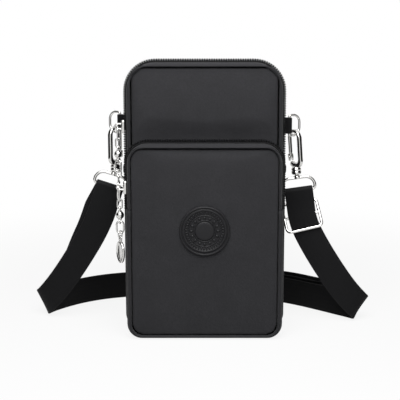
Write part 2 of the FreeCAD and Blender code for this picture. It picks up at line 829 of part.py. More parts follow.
def gate_levels():
    """Heights of the gate's tip and of its pivot."""
    inside_top, inside_bottom, loop_bottom, barrel_end = hook_levels()
    tip = inside_top - size("gate_drop")
    return tip, tip - size("gate_length")


def gate_across():
    """Where the gate's middle line lies across the hook."""
    return -(size("hook_width") + size("hook_opening")) / 4


def gate(side, place, turn):
    """The spring gate: a bar that closes the hook's open side, with a narrow tongue on a pin."""
    body = new_body(f"{side}_gate")
    tip, pivot = gate_levels()
    half = size("gate_width") / 2
    middle = gate_across()
    shoulder = pivot + size("gate_width") + size("gate_gap")
    bar = new_sketch(body, "XZ_Plane", ZERO)
    draw_polygon(bar, [
        (middle - half, shoulder), (middle + half, shoulder), (middle + half, tip),
        (middle - half * GATE_TIP_SHARE, tip), (middle - half, tip - half),
    ])
    pad(body, bar, size("gate_wall"), side="Symmetric")
    tongue = new_sketch(body, "XZ_Plane", ZERO)
    draw_polygon(tongue, box_corners(middle - half, middle + half, pivot - half, shoulder + half))
    pad(body, tongue, size("gate_tongue"), side="Symmetric")
    doc.recompute()
    hole = new_sketch(body, "XZ_Plane", ZERO)
    draw_circle(hole, middle, pivot, size("pin_diameter") + size("gate_gap"))
    cut(body, hole, side="Symmetric")
    body.Placement = Placement(place, turn)


def gate_pin(side, place, turn):
    """The pin that carries the gate."""
    body = new_body(f"{side}_gate_pin")
    tip, pivot = gate_levels()
    sketch = new_sketch(body, "XZ_Plane", ZERO)
    draw_circle(sketch, gate_across(), pivot, size("pin_diameter"))
    pad(body, sketch, size("hook_wall"), side="Symmetric")
    body.Placement = Placement(place, turn)


def eye_outline():
    """Middle line of the strap eye, with its straight bar at the bottom."""
    half = (size("eye_width") + size("eye_wire")) / 2
    bar = -size("eye_drop")
    return Outline(half, bar, bar + size("eye_height"), size("eye_corner"),
                   size("eye_top_radius"))


def post_top():
    """Height of the end of the eye's post inside the hook's barrel, where the eye swings."""
    barrel_end = hook_levels()[-1]
    return barrel_end + size("barrel_bore_depth") - size("post_gap")


def strap_eye(side, place, lean):
    """The swivelling eye that holds the strap, with its post in the hook's barrel."""
    outline = eye_outline()
    body = wire_loop(f"{side}_eye", outline, size("eye_wire"))
    sketch = new_sketch(body, "XY_Plane", outline.top)
    draw_circle(sketch, ZERO, ZERO, size("post_diameter"))
    doc.recompute()
    pad(body, sketch, post_top() - outline.top)
    body.Placement = Placement(place, lean)


def strap_loop(side, place, lean, length):
    """The strap's end folded round the eye's bar and sewn to itself."""
    body = new_body(f"{side}_strap_loop")
    wall = size("strap_wall")
    clear = size("eye_wire") / 2 + size("strap_gap")
    bar = -size("eye_drop")
    half = clear + wall
    fold = Outline(half, bar - length, bar + half, wall, half * (2 * ROUND_END_SHARE))
    hollow = Outline(clear, bar - length + wall, bar + clear, wall / 2,
                     clear * (2 * ROUND_END_SHARE))
    sketch = new_sketch(body, "YZ_Plane", -strap_half)
    draw_outline(sketch, fold)
    draw_outline(sketch, hollow)
    pad(body, sketch, size("strap_width"))
    body.Placement = Placement(place, lean)


def adjuster():
    """The sliding adjuster: a frame of wire, leaning so that the strap passes in front of its
    middle bar and behind its lower end, and the middle bar itself."""
    wire = size("adjuster_wire")
    half = (size("adjuster_width") - wire) / 2 + wire
    reach = (size("adjuster_height") - wire) / 2
    corner = size("adjuster_corner")
    frame = wire_loop("adjuster_frame", Outline(half, -reach, reach, corner, corner), wire)
    bar = doc.addObject("Part::Cylinder", "adjuster_bar")
    bar.Label = "adjuster_bar"
    bar.setExpression("Radius", (wire / 2).text)
    bar.setExpression("Height", (half * 2 - wire).text)
    nodes.append(bar)
    spot, across = (Vector(*triple) for triple in ADJUSTER_SPOT)
    along = (Vector(*RIGHT_END[0][0]) - Vector(*RIGHT_RUN[-1][0])).normalize()
    rear = along.cross(across).normalize()
    step = (size("strap_wall") + wire) / 2 + size("adjuster_gap")
    lean = math.degrees(math.asin(2 * step.value / reach.value))
    turn = Rotation(across, rear, along, "ZYX") * Rotation(Vector(1, 0, 0), -lean)
    place = spot + rear * step.value
    frame.Placement = Placement(place, turn)
    end = turn.multVec(Vector((wire / 2 - half).value, 0, 0))
    bar.Placement = Placement(place + end, turn * Rotation(Vector(0, 1, 0), 90))


def rounded_path(points):
    """Straight runs of a route joined by tangent arcs: points along it, with the share of the way
    from each route point to the next, and the smallest arc radius."""
    path = [(points[0], 0.0)]
    radii = []
    for i in range(1, len(points) - 1):
        before, here, after = points[i - 1], points[i], points[i + 1]
        into, out = here - before, after - here
        turn = into.getAngle(out)
        setback = min(into.Length, out.Length) * ARC_SHARE
        radii.append(setback / math.tan(turn / 2))
        start = here - Vector(into).normalize() * setback
        end = here + Vector(out).normalize() * setback
        bisector = (start + end) / 2 - here
        reach = math.hypot(radii[-1], setback)
        centre = here + Vector(bisector).normalize() * reach
        arm = start - centre
        axis = into.cross(out)
        for share in ARC_STEP_SHARES:
            spot = centre + Rotation(axis, math.degrees(turn) * share).multVec(arm)
            if share < 0.5:
                way = i - (1 - 2 * share) * setback / into.Length
            else:
                way = i + (2 * share - 1) * setback / out.Length
            path.append((spot, way))
    path.append((points[-1], float(len(points) - 1)))
    return path, min(radii)


def strap_sections(route):
    """Cross-sections of flat webbing along a route: place on the route, middle and outline of each."""
    points = [Vector(*place) for place, across in route]
    widths = [Vector(*across) for place, across in route]
    path, radius = rounded_path(points)
    half = strap_half.value
    thin = size("strap_wall").value / 2
    sections = []
    for i, (spot, way) in enumerate(path):
        before = path[max(i - 1, 0)][0]
        after = path[min(i + 1, len(path) - 1)][0]
        along = Vector(after - before).normalize()
        first = min(int(way), len(widths) - 2)
        across = widths[first] * (1 - way + first) + widths[first + 1] * (way - first)
        across = (across - along * across.dot(along)).normalize()
        normal = along.cross(across)
        corners = [
            spot + across * half + normal * thin,
            spot - across * half + normal * thin,
            spot - across * half - normal * thin,
            spot + across * half - normal * thin,
        ]
        sections.append((way, spot, Part.makePolygon(corners + corners[:1])))
    print(f"smallest radius {radius:.1f}")
    return sections


def ribbon(label, sections):
    """A length of flat webbing: a ruled loft through its cross-sections."""
    shape = Part.makeLoft([outline for way, spot, outline in sections], True, True)
    if shape.Volume < 0:
        shape.reverse()
    feature = doc.addObject("Part::Feature", label)
    feature.Label = label
    feature.Shape = shape
    nodes.append(feature)
    spots = [spot for way, spot, outline in sections]
    length = sum((b - a).Length for a, b in zip(spots, spots[1:]))
    section = size("strap_width").value * size("strap_wall").value
    print(f"{label}: length {length:.1f}, "
          f"volume over section times length {shape.Volume / section / length:.3f}")


# Fabric of the pouch.
main_names = "main_front_panel", "main_front_padding", "main_front_lining"
rear_names = "rear_panel", "rear_padding", "rear_lining"
pocket_names = "pocket_panel", "pocket_padding", "pocket_lining"
panel_layers(pocket_names, pocket_seam, pocket_face, True)
panel_layers(main_names, main_seam, main_face, True)
panel_layers(rear_names, main_seam, rear_face, False)
gussets("pocket", pocket_seam, pocket_rim, pocket_back, pocket_face, pocket_zip_y, main_face,
        size("pocket_zip_end"))
gussets("main", main_seam, main_rim, main_seam, main_face, main_zip_y,
        rear_face - size("shell_wall"), size("main_zip_end"))
zip_closure("pocket", pocket_rim, pocket_zip_y, size("pocket_zip_end"))
zip_closure("main", main_rim, main_zip_y, size("main_zip_end"))
badge()

# Sliders and their pulls.
main_bail = slider("main_slider", main_half, main_zip_y, size("main_slider_height"))
pocket_bail = slider("pocket_slider", pocket_half, pocket_zip_y, size("pocket_slider_height"))
pull("main", main_bail, MAIN_PULL_TURNS)
pull("pocket", pocket_bail, POCKET_PULL_TURNS)

# Tabs, D-rings and snap hooks on both sides.
HOOKS = {
    "left": (-1, LEFT_HOOK_TILT, LEFT_EYE_TILT),
    "right": (1, RIGHT_HOOK_TILT, RIGHT_EYE_TILT),
}
for side, (sign, hook_tilt, eye_tilt) in HOOKS.items():
    side_tab(side, sign)
    d_ring(side, sign)
    origin, lean, turn = hook_frame(side, sign, hook_tilt)
    snap_hook(side, origin, turn)
    gate(side, origin, turn)
    gate_pin(side, origin, turn)
    eye_lean = Rotation(Vector(0, 1, 0), eye_tilt)
    post = Vector(0, 0, post_top().value)
    eye_place = origin + lean.multVec(post) - eye_lean.multVec(post)
    length = size(f"{side}_loop_length")
    strap_eye(side, eye_place, eye_lean)
    strap_loop(side, eye_place, eye_lean, length)
    bar = eye_place + eye_lean.multVec(Vector(0, 0, -size("eye_drop").value))
    print(side, "hook origin", origin, "post top", origin + lean.multVec(post), "eye bar", bar)
    print(side, "loop end", bar + eye_lean.multVec(Vector(0, 0, -length.value)))

# Strap and its adjuster.
adjuster()
whole_route = LEFT_RUN + BACK_FOLDS[1:] + RIGHT_RUN[1:] + [ADJUSTER_SPOT] + RIGHT_END
whole = strap_sections(whole_route)
folds_start = len(LEFT_RUN) - 1
folds_end = folds_start + len(BACK_FOLDS) - 1
ribbon("strap_left_run", [part for part in whole if part[0] <= folds_start])
ribbon("strap_back_folds", [part for part in whole if folds_start <= part[0] <= folds_end])
ribbon("strap_right_run", [part for part in whole if part[0] >= folds_end])
ribbon("strap_left_tail", strap_sections(LEFT_TAIL))
ribbon("strap_fixed_end", strap_sections(FIXED_END))

doc.recompute()

# Nothing is written unless every object is sound.
for item in doc.Objects:
    if "Invalid" in item.State or "Error" in item.State:
        raise RuntimeError(f"{item.Label} did not build: {item.State}")
for node in nodes:
    if node.Shape.isNull() or not node.Shape.isValid() or not node.Shape.Solids:
        raise RuntimeError(f"{node.Label} has no sound solid")

os.makedirs("parts", exist_ok=True)
for node in nodes:
    node.Shape.exportStep(f"parts/{node.Label}.step")
print(len(nodes), "sub-parts written")
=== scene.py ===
import math

import bmesh
import bpy
from mathutils import Matrix, Vector


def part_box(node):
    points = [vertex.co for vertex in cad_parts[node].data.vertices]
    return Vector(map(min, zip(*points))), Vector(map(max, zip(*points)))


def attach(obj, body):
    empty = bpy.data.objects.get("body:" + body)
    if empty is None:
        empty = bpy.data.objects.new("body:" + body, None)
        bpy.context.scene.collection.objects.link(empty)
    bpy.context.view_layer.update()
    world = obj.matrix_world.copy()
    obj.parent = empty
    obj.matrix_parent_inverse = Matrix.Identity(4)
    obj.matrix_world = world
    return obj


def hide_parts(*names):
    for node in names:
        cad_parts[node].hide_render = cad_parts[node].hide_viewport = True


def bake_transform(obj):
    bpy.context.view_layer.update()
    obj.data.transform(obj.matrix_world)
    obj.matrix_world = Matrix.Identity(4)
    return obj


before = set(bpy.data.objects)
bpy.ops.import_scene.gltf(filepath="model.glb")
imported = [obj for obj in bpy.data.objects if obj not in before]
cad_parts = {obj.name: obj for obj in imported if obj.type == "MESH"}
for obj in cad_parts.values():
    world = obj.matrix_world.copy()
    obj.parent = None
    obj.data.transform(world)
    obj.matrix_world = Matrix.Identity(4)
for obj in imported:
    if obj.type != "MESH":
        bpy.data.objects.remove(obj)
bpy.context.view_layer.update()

bl_info = {
    "name": "Phone pouch",
    "version": (1, 0, 0),
    "blender": (4, 5, 0),
    "location": "View3D > Sidebar > Pouch",
    "description": "Dresses a padded phone pouch: fabric, zips, chain pulls, snap hooks and strap",
    "category": "Object",
}

# Route of the strap in metres, from the left loop to the right one: place, then the direction of
# the strap's width, which is upright where the strap stands on its edge.
UP = (0.0, 0.0, 1.0)
LEFT_RUN = [
    ((-0.0731, 0.01964, 0.082), (-0.951, 0.0, 0.309)),
    ((-0.0772, 0.0199, 0.0706), (-0.93, 0.02, 0.36)),
    ((-0.0924, 0.0218, 0.045), (-0.83, 0.15, 0.54)),
    ((-0.1054, 0.0244, 0.026), (-0.71, 0.25, 0.66)),
    ((-0.1162, 0.028, 0.0132), (-0.57, 0.3, 0.77)),
    ((-0.1204, 0.0332, 0.0096), (-0.45, 0.2, 0.87)),
    ((-0.1146, 0.0406, 0.0102), (-0.2, 0.05, 0.98)),
    ((-0.1046, 0.0512, 0.0103), UP),
    ((-0.0924, 0.0636, 0.0103), UP),
    ((-0.0772, 0.0734, 0.0103), UP),
    ((-0.06, 0.0795, 0.0103), UP),
    ((-0.038, 0.0846, 0.0103), UP),
    ((-0.008, 0.0868, 0.0103), UP),
    ((0.022, 0.0872, 0.0103), UP),
]
RIGHT_RUN = [
    ((0.022, 0.0872, 0.0103), UP),
    ((0.044, 0.0868, 0.0103), UP),
    ((0.06, 0.0842, 0.0103), UP),
    ((0.072, 0.0766, 0.0103), UP),
    ((0.0834, 0.0664, 0.0103), UP),
    ((0.0914, 0.0593, 0.0103), UP),
    ((0.0907, 0.0541, 0.0103), UP),
    ((0.0855, 0.0527, 0.0103), UP),
    ((0.0775, 0.0598, 0.0103), UP),
    ((0.065, 0.071, 0.0103), UP),
    ((0.049, 0.078, 0.0103), UP),
    ((0.022, 0.079, 0.0103), UP),
    ((-0.008, 0.0786, 0.0103), UP),
    ((-0.028, 0.0778, 0.0103), UP),
    ((-0.0396, 0.0772, 0.0103), UP),
    ((-0.0422, 0.073, 0.0103), UP),
    ((-0.0396, 0.0688, 0.0103), UP),
    ((-0.028, 0.0692, 0.0103), UP),
    ((-0.008, 0.0699, 0.0103), UP),
    ((0.018, 0.0705, 0.0103), UP),
    ((0.04, 0.0702, 0.0103), UP),
    ((0.0556, 0.0668, 0.0103), UP),
    ((0.07, 0.0569, 0.0103), UP),
    ((0.083, 0.0455, 0.0103), UP),
    ((0.095, 0.035, 0.0103), (0.06, 0.02, 0.99)),
    ((0.1064, 0.0266, 0.0103), (0.3, 0.15, 0.94)),
    ((0.114, 0.02, 0.0096), (0.58, 0.26, 0.77)),
    ((0.1104, 0.0166, 0.013), (0.66, 0.22, 0.71)),
    ((0.1008, 0.0156, 0.0234), (0.73, 0.12, 0.67)),
    ((0.0896, 0.0156, 0.0394), (0.81, 0.04, 0.58)),
    ((0.0796, 0.0164, 0.0554), (0.86, 0.0, 0.51)),
    ((0.0722, 0.018, 0.0692), (0.9, 0.0, 0.43)),
    ((0.0695, 0.019, 0.0778), (0.94, 0.0, 0.33)),
    ((0.06876, 0.01952, 0.0837), (0.98, 0.0, 0.2)),
    ((0.06804, 0.01964, 0.08892), (0.99, 0.0, 0.139)),
]
LEFT_TAIL = [
    ((-0.07643, 0.02364, 0.08308), (-0.951, 0.0, 0.309)),
    ((-0.0807, 0.0232, 0.0705), (-0.93, 0.02, 0.36)),
    ((-0.0866, 0.0236, 0.0586), (-0.87, 0.1, 0.48)),
    ((-0.0917, 0.0248, 0.0464), (-0.82, 0.16, 0.55)),
]
FIXED_END = [
    ((0.06804, 0.02364, 0.08892), (0.99, 0.0, 0.139)),
    ((0.06884, 0.0236, 0.0832), (0.98, 0.0, 0.2)),
    ((0.0699, 0.0234, 0.0768), (0.94, 0.0, 0.33)),
]
# The adjuster stands at this point of the right run.
ADJUSTER_POINT = -3

# Hooks: side, sign of X, where the hook hangs, its tilt, then the middle of the eye's bar, its tilt
# and the length of the strap's loop on it.
HOOKS = {
    "left": (-1, (-0.063292, 0.021638, 0.137890), 0.0, (-0.067711, 0.021638, 0.098590), 18.0, 0.0170),
    "right": (1, (0.063292, 0.021638, 0.135590), -4.0, (0.067075, 0.021638, 0.095792), -8.0, 0.0065),
}
# D-rings: place of the bar in the side tab, right of the middle and from the front, and the ring's turn.
RING_BAR = (0.05938, 0.019)
RING_YAW = 35.0
# Zip pulls: turns of the oval link, the jump ring and the pendant.
PULL_TURNS = {"main": (-30.0, 30.0, 90.0), "pocket": (0.0, 59.0, 118.0)}

# Sewn work: walls of the gussets, the zip tape and the side tabs, and how far a hem is turned in and folded.
GUSSET_WALL = 0.0012
TAPE_WALL = 0.0006
TAB_WALL = 0.0008
HEM_TURN = 0.0004
HEM_FOLD = 0.0008
# Padded panels: depth of the slab, depth of the part that rises, and the gap at the seam.
SLAB_DEPTH = 0.003
RISING_DEPTH = 0.0012
SEAM_GAP = 0.0003
CLOTH_FRAMES = 20
CLOTH = {"quality": 5, "mass": 0.2, "tension_stiffness": 12, "compression_stiffness": 12,
         "bending_stiffness": 0.6, "use_pressure": True, "uniform_pressure_force": 12.0,
         "vertex_group_mass": "held"}
# Strap: reach of a folded loop from its bar, and how far the strap is tucked into it.
LOOP_REACH = 0.002
TUCK = 0.0035
# The adjuster's bar stands this far behind the strap, and its frame reaches this far from the bar.
ADJUSTER_REAR = 0.0022
ADJUSTER_REACH = 0.0105
# Angle in degrees from which an edge of hardware is sharp.
CREASE = 60


def linear(code):
    """Linear red, green and blue of an sRGB hex colour."""
    parts = [int(code[i:i + 2], 16) / 255 for i in (1, 3, 5)]
    return [c / 12.92 if c <= 0.04045 else ((c + 0.055) / 1.055) ** 2.4 for c in parts]


def length(label, text, default):
    """A length property."""
    return bpy.props.FloatProperty(name=label, description=text, default=default, unit="LENGTH",
                                   precision=5)


def colour(label, text, code):
    """A colour property that starts from an sRGB hex value."""
    return bpy.props.FloatVectorProperty(name=label, description=text, default=linear(code),
                                         subtype="COLOR", size=3, min=0.0, max=1.0)


class PouchSizes(bpy.types.PropertyGroup):
    """Sizes that the dressing adds to the solids."""

    main_top_radius: length("Main top radius", "Top corners of the main compartment", 0.022)
    main_seam_radius: length("Main seam radius", "Top corners of the main panels", 0.010)
    pocket_top_radius: length("Pocket top radius", "Top corners of the pocket", 0.015)
    pocket_seam_radius: length("Pocket seam radius", "Top corners of the pocket's panel", 0.0085)
    pocket_back_radius: length("Pocket back radius", "Top corners where the pocket is sewn on", 0.012)
    base_radius: length("Base radius", "Bottom corners", 0.010)
    base_seam_radius: length("Base seam radius", "Bottom corners of the panels", 0.008)
    crown: length("Panel crown", "How far the padded panels stand out of their seams", 0.0021)
    shoulder: length("Panel shoulder", "Width of the tight edge of a padded panel", 0.0034)
    dome: length("Panel dome", "Distance from the seam over which a padded panel still rises", 0.028)
    draw: length("Draw", "Height over which the main panel is drawn in above the pocket", 0.018)
    cell: length("Cloth cell", "Mesh size of the cloth simulation", 0.0017)
    main_hem_drop: length("Main hem drop", "How far the edge beside the main zip lies inwards", 0.0021)
    pocket_hem_drop: length("Pocket hem drop", "The same beside the pocket's zip", 0.0011)
    pocket_band: length("Pocket band", "Extra width of the band round the pocket's panel", 0.0005)
    tooth_pitch: length("Tooth pitch", "Spacing of the zip's coil", 0.00165)
    tooth_rise: length("Tooth rise", "How far the coil stands out of the zip's tape", 0.0013)
    strap_width: length("Strap width", "Width of the webbing", 0.020)
    strap_wall: length("Strap thickness", "Thickness of the webbing", 0.0012)


class PouchColours(bpy.types.PropertyGroup):
    """Colours of the pouch."""

    nylon: colour("Nylon", "Shell fabric", "#29292b")
    webbing: colour("Webbing", "Strap and tabs", "#111112")
    tape: colour("Zip tape", "Woven tape of the zips", "#070708")
    coil: colour("Coil", "Coil teeth of the zips", "#060607")
    rubber: colour("Rubber", "Moulded badge", "#161618")
    thread: colour("Thread", "Sewing thread", "#2b2b2d")
    nickel: colour("Nickel", "Plated hardware", "#d6d5d3")
    floor: colour("Floor", "Paper that the pouch stands on", "#c8c8c8")


def add_node(tree, kind, inputs=None, **settings):
    """Add a node with its settings, and set or link its inputs."""
    node = tree.nodes.new(kind)
    for name, value in settings.items():
        setattr(node, name, value)
    for key, value in (inputs or {}).items():
        if isinstance(value, bpy.types.NodeSocket):
            tree.links.new(value, node.inputs[key])
        else:
            node.inputs[key].default_value = value
    return node


def new_material(name):
    """An empty node material and its output node."""
    material = bpy.data.materials.new(name)
    material.use_nodes = True
    tree = material.node_tree
    tree.nodes.clear()
    return material, tree, tree.nodes.new("ShaderNodeOutputMaterial")


def tone(prop, share=1.0):
    """A colour property, or a darker or lighter tone of it."""
    return (*(min(1.0, c * share) for c in prop), 1.0)


def maths(tree, operation, *values):
    """The result of one sum on sockets and numbers."""
    return add_node(tree, "ShaderNodeMath", dict(enumerate(values)), operation=operation).outputs[0]


def wave(tree, coordinate, spacing):
    """A sine along one coordinate in metres, one wave per spacing, from minus one to one."""
    return maths(tree, "SINE", maths(tree, "MULTIPLY", coordinate, 2 * math.pi / spacing))


def noise(tree, place, grain, detail):
    """Soft noise of one grain size in metres."""
    return add_node(tree, "ShaderNodeTexNoise",
                    {"Vector": place, "Scale": 1 / grain, "Detail": detail}).outputs["Fac"]


def finished(parts, prop, tint, rough, bump, settings):
    """A material from its parts: tint and rough are each a socket and the two ends that it runs between,
    bump is a height, a strength and a distance."""
    material, tree, output = parts
    colours = add_node(tree, "ShaderNodeMix", {"Factor": tint[0], 6: tone(prop, tint[1]),
                                               7: tone(prop, tint[2])}, data_type="RGBA")
    gloss = add_node(tree, "ShaderNodeMapRange", {"Value": rough[0], 3: rough[1], 4: rough[2]})
    relief = add_node(tree, "ShaderNodeBump", {"Strength": bump[1], "Distance": bump[2], "Height": bump[0]})
    shader = add_node(tree, "ShaderNodeBsdfPrincipled", {
        "Base Color": colours.outputs[2], "Roughness": gloss.outputs[0], "Normal": relief.outputs[0],
        **settings})
    tree.links.new(shader.outputs[0], output.inputs[0])
    return material


def woven_nylon(prop, mapped):
    """Plain-woven nylon, dyed black and lightly calendered: a matt face with a faint grid of threads
    and a soft sheen at grazing light. Threads are 0.3 mm apart; drawn at 0.9 mm so that they show."""
    thread = 0.0009
    parts = new_material("woven_nylon_sewn" if mapped else "woven_nylon_padded")
    tree = parts[1]
    place = add_node(tree, "ShaderNodeTexCoord").outputs["UV" if mapped else "Object"]
    axes = add_node(tree, "ShaderNodeSeparateXYZ", {0: place}).outputs
    weave = maths(tree, "MULTIPLY", wave(tree, axes[0], thread), wave(tree, axes[1 if mapped else 2], thread))
    # Slight differences of dye and rubbing over some 15 mm, and lint over 1.5 mm.
    cloud = noise(tree, place, 0.015, 3.0)
    lint = noise(tree, place, 0.0015, 2.0)
    blend = maths(tree, "MULTIPLY_ADD", cloud, lint, 0.2)
    height = maths(tree, "MULTIPLY_ADD", weave, 0.6, lint)
    return finished(parts, prop, (blend, 0.72, 1.35), (cloud, 0.58, 0.74), (height, 0.35, 0.00025), {
        "Sheen Weight": 0.04, "Sheen Roughness": 0.45, "IOR": 1.53, "Specular IOR Level": 0.06})


def woven_webbing(name, prop):
    """Nylon webbing or tape woven in a herringbone: satin ribs that change direction in narrow columns,
    so light runs along it in fine stripes. These stripes are also painted into the colour as a painted
    sheen, lighter on the ribs' crests and darker between them, mixed with wear that differs at random.
    Ribs are 0.5 mm apart; drawn a little coarser."""
    rib = 0.0007
    column_width = 2.2 * rib
    parts = new_material(name)
    tree = parts[1]
    place = add_node(tree, "ShaderNodeTexCoord").outputs["UV"]
    axes = add_node(tree, "ShaderNodeSeparateXYZ", {0: place}).outputs
    slant = maths(tree, "ADD", maths(tree, "PINGPONG", axes[0], column_width), axes[1])
    height = maths(tree, "MULTIPLY_ADD", wave(tree, axes[0], column_width), 0.15, wave(tree, slant, rib))
    worn = noise(tree, place, 0.012, 3.0)
    # Painted sheen: the ribs' height is painted into the colour, lighter on their crests and darker between
    # them.
    painted_rib_sheen = add_node(tree, "ShaderNodeMapRange", {"Value": height, 1: -1.15, 2: 1.15, 3: 0.2, 4: 0.5})
    mixed = maths(tree, "MULTIPLY_ADD", worn, 0.5, painted_rib_sheen.outputs[0])
    return finished(parts, prop, (mixed, 0.7, 1.4), (worn, 0.42, 0.6), (height, 0.3, 0.0001), {
        "Sheen Weight": 0.03, "Sheen Roughness": 0.4, "IOR": 1.53, "Specular IOR Level": 0.06})


def plain_finish(name, prop, grain, roughness, relief=0.1, spread=0.25, **settings):
    """A finish whose colour, gloss and relief vary over one grain size in metres."""
    parts = new_material(name)
    place = add_node(parts[1], "ShaderNodeTexCoord").outputs["Object"]
    cloud = noise(parts[1], place, grain, 4.0)
    return finished(parts, prop, (cloud, 1 - spread, 1 + spread), (cloud, *roughness),
                    (cloud, relief, 0.0001), settings)


MATERIALS = {}


def make_materials(colours):
    """All finishes of the pouch."""
    MATERIALS["padded"] = woven_nylon(colours.nylon, False)
    MATERIALS["sewn"] = woven_nylon(colours.nylon, True)
    MATERIALS["webbing"] = woven_webbing("nylon_webbing", colours.webbing)
    MATERIALS["tape"] = woven_webbing("woven_zip_tape", colours.tape)
    # Polyester filament, wound into a coil: smooth and a little glossy.
    MATERIALS["coil"] = plain_finish("polyester_coil", colours.coil, 0.002, (0.5, 0.65), IOR=1.57,
                                     **{"Specular IOR Level": 0.05})
    # Soft rubber cast in a mould: an even satin skin.
    MATERIALS["rubber"] = plain_finish("moulded_rubber", colours.rubber, 0.0012, (0.42, 0.56), IOR=1.52,
                                       **{"Specular IOR Level": 0.2})
    # Twisted polyester thread.
    MATERIALS["thread"] = plain_finish("polyester_thread", colours.thread, 0.0006, (0.5, 0.65), IOR=1.55)
    # Zinc die-casting and steel wire, polished and nickel plated: bright, with faint handling marks.
    MATERIALS["nickel"] = plain_finish("polished_nickel_plate", colours.nickel, 0.003, (0.1, 0.22),
                                       0.03, 0.05, Metallic=1.0)


def finish_of(key):
    """One of the finishes; the first call makes them all."""
    if not MATERIALS:
        make_materials(bpy.context.scene.pouch_colours)
    return MATERIALS[key]


class Outline:
    """A rounded rectangle, upright and centred on the middle of the pouch."""

    def __init__(self, half, bottom, top, bottom_radius, top_radius):
        self.half = half
        self.bottom = bottom
        self.top = top
        self.bottom_radius = bottom_radius
        self.top_radius = top_radius

    def inset(self, wall):
        """The same outline, smaller by a wall all round."""
        least = 0.0005
        return Outline(self.half - wall, self.bottom + wall, self.top - wall,
                       max(self.bottom_radius - wall, least), max(self.top_radius - wall, least))

    def towards(self, other, share):
        """An outline between this one and another one."""
        names = "half", "bottom", "top", "bottom_radius", "top_radius"
        return Outline(*(getattr(self, n) + (getattr(other, n) - getattr(self, n)) * share for n in names))

    def upper(self, level, arc=12, side=24, flat=30):
        """Points from the left side at a level over the top to the right side."""
        r = self.top_radius
        points = [(-self.half, level + (self.top - r - level) * i / side) for i in range(side)]
        points += corner(r - self.half, self.top - r, r, 180, 90, arc)
        points += [(r - self.half + 2 * (self.half - r) * i / flat, self.top) for i in range(1, flat)]
        points += corner(self.half - r, self.top - r, r, 90, 0, arc)
        points += [(self.half, self.top - r + (level - self.top + r) * i / side)
                   for i in range(1, side + 1)]
        return points

    def lower(self, level, arc=10, side=24, flat=30):
        """Points from the right side at a level round the bottom to the left side."""
        turned = Outline(self.half, -self.top, -self.bottom, self.top_radius, self.bottom_radius)
        return [(-x, -z) for x, z in turned.upper(-level, arc, side, flat)]

    def whole(self):
        """Points all the way round."""
        level = (self.bottom + self.top) / 2
        return self.upper(level)[:-1] + self.lower(level)[:-1]

    def depth(self, x, z):
        """Distance of a point inside the outline from its edge."""
        middle = (self.bottom + self.top) / 2
        r = self.top_radius if z > middle else self.bottom_radius
        across = abs(x) - self.half + r
        up = abs(z - middle) - (self.top - self.bottom) / 2 + r
        outside = math.hypot(max(across, 0.0), max(up, 0.0))
        return r - outside - min(max(across, up), 0.0)


def corner(x, z, radius, start, end, steps):
    """Points round one corner, from one angle in degrees to another."""
    turns = [math.radians(start + (end - start) * i / steps) for i in range(steps + 1)]
    return [(x + radius * math.cos(t), z + radius * math.sin(t)) for t in turns]


def circle(radius, count):
    """Points round a circle, without its first point again."""
    turns = [2 * math.pi * i / count for i in range(count)]
    return [(radius * math.cos(t), radius * math.sin(t)) for t in turns]


def clamped(share):
    """A share held between zero and one."""
    return min(max(share, 0.0), 1.0)


def spin(degrees, axis):
    """A turn about one axis."""
    return Matrix.Rotation(math.radians(degrees), 4, axis)


def linked(name, data):
    """A new object in the scene."""
    item = bpy.data.objects.new(name, data)
    bpy.context.scene.collection.objects.link(item)
    return item


def evaluated(piece):
    """The final mesh of an object that is made for it alone and removed again."""
    graph = bpy.context.evaluated_depsgraph_get()
    mesh = bpy.data.meshes.new_from_object(piece.evaluated_get(graph))
    bpy.data.objects.remove(piece)
    return mesh


def new_piece(name, mesh, finish, body, replaced=()):
    """An object for a finished mesh that rides on a body and stands for CAD nodes."""
    piece = linked(name, mesh)
    mesh.materials.clear()
    mesh.materials.append(finish_of(finish))
    if body:
        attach(piece, body)
    if replaced:
        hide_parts(*replaced)
    return piece


def mesh_from(name, build, crease=None):
    """A mesh from a function that fills a bmesh; doubles merged, faces turned outwards, and edges sharp
    from a crease angle where one is given."""
    bm = bmesh.new()
    build(bm)
    bmesh.ops.remove_doubles(bm, verts=bm.verts, dist=1e-6)
    bmesh.ops.recalc_face_normals(bm, faces=bm.faces)
    for face in bm.faces:
        face.smooth = True
    mesh = bpy.data.meshes.new(name)
    bm.to_mesh(mesh)
    bm.free()
    if crease:
        mesh.set_sharp_from_angle(angle=math.radians(crease))
    return mesh


def metal(name, build, body, nodes, crease=None):
    """A nickel-plated piece of hardware."""
    new_piece(name, mesh_from(name, build, crease), "nickel", body, nodes)


def add_loft(bm, rings, caps=True):
    """Faces through closed rings of points, with the ends capped where wanted."""
    rows = [[bm.verts.new(p) for p in ring] for ring in rings]
    count = len(rows[0])
    for a, b in zip(rows, rows[1:]):
        for i in range(count):
            j = (i + 1) % count
            bm.faces.new((a[i], a[j], b[j], b[i]))
    if caps:
        bm.faces.new(rows[0])
        bm.faces.new(rows[-1][::-1])


def frames_along(points, closed, start=None):
    """Side and up directions at each point of a path, carried along it without twist."""
    count = len(points)
    tangents = []
    for i in range(count):
        before = points[(i - 1) % count if closed else max(i - 1, 0)]
        after = points[(i + 1) % count if closed else min(i + 1, count - 1)]
        tangents.append((after - before).normalized())
    side = Vector(start) if start else tangents[0].orthogonal()
    frames = []
    for tangent in tangents:
        side = (side - tangent * side.dot(tangent)).normalized()
        frames.append((side, tangent.cross(side)))
    return frames


def rounded_section(half_side, half_up, power=2.0, count=14):
    """A cross-section from round (power 2) to nearly square (higher powers)."""
    points = []
    for i in range(count):
        t = 2 * math.pi * (i + 0.5) / count
        c, s = math.cos(t), math.sin(t)
        points.append((half_side * math.copysign(abs(c) ** (2 / power), c),
                       half_up * math.copysign(abs(s) ** (2 / power), s)))
    return points


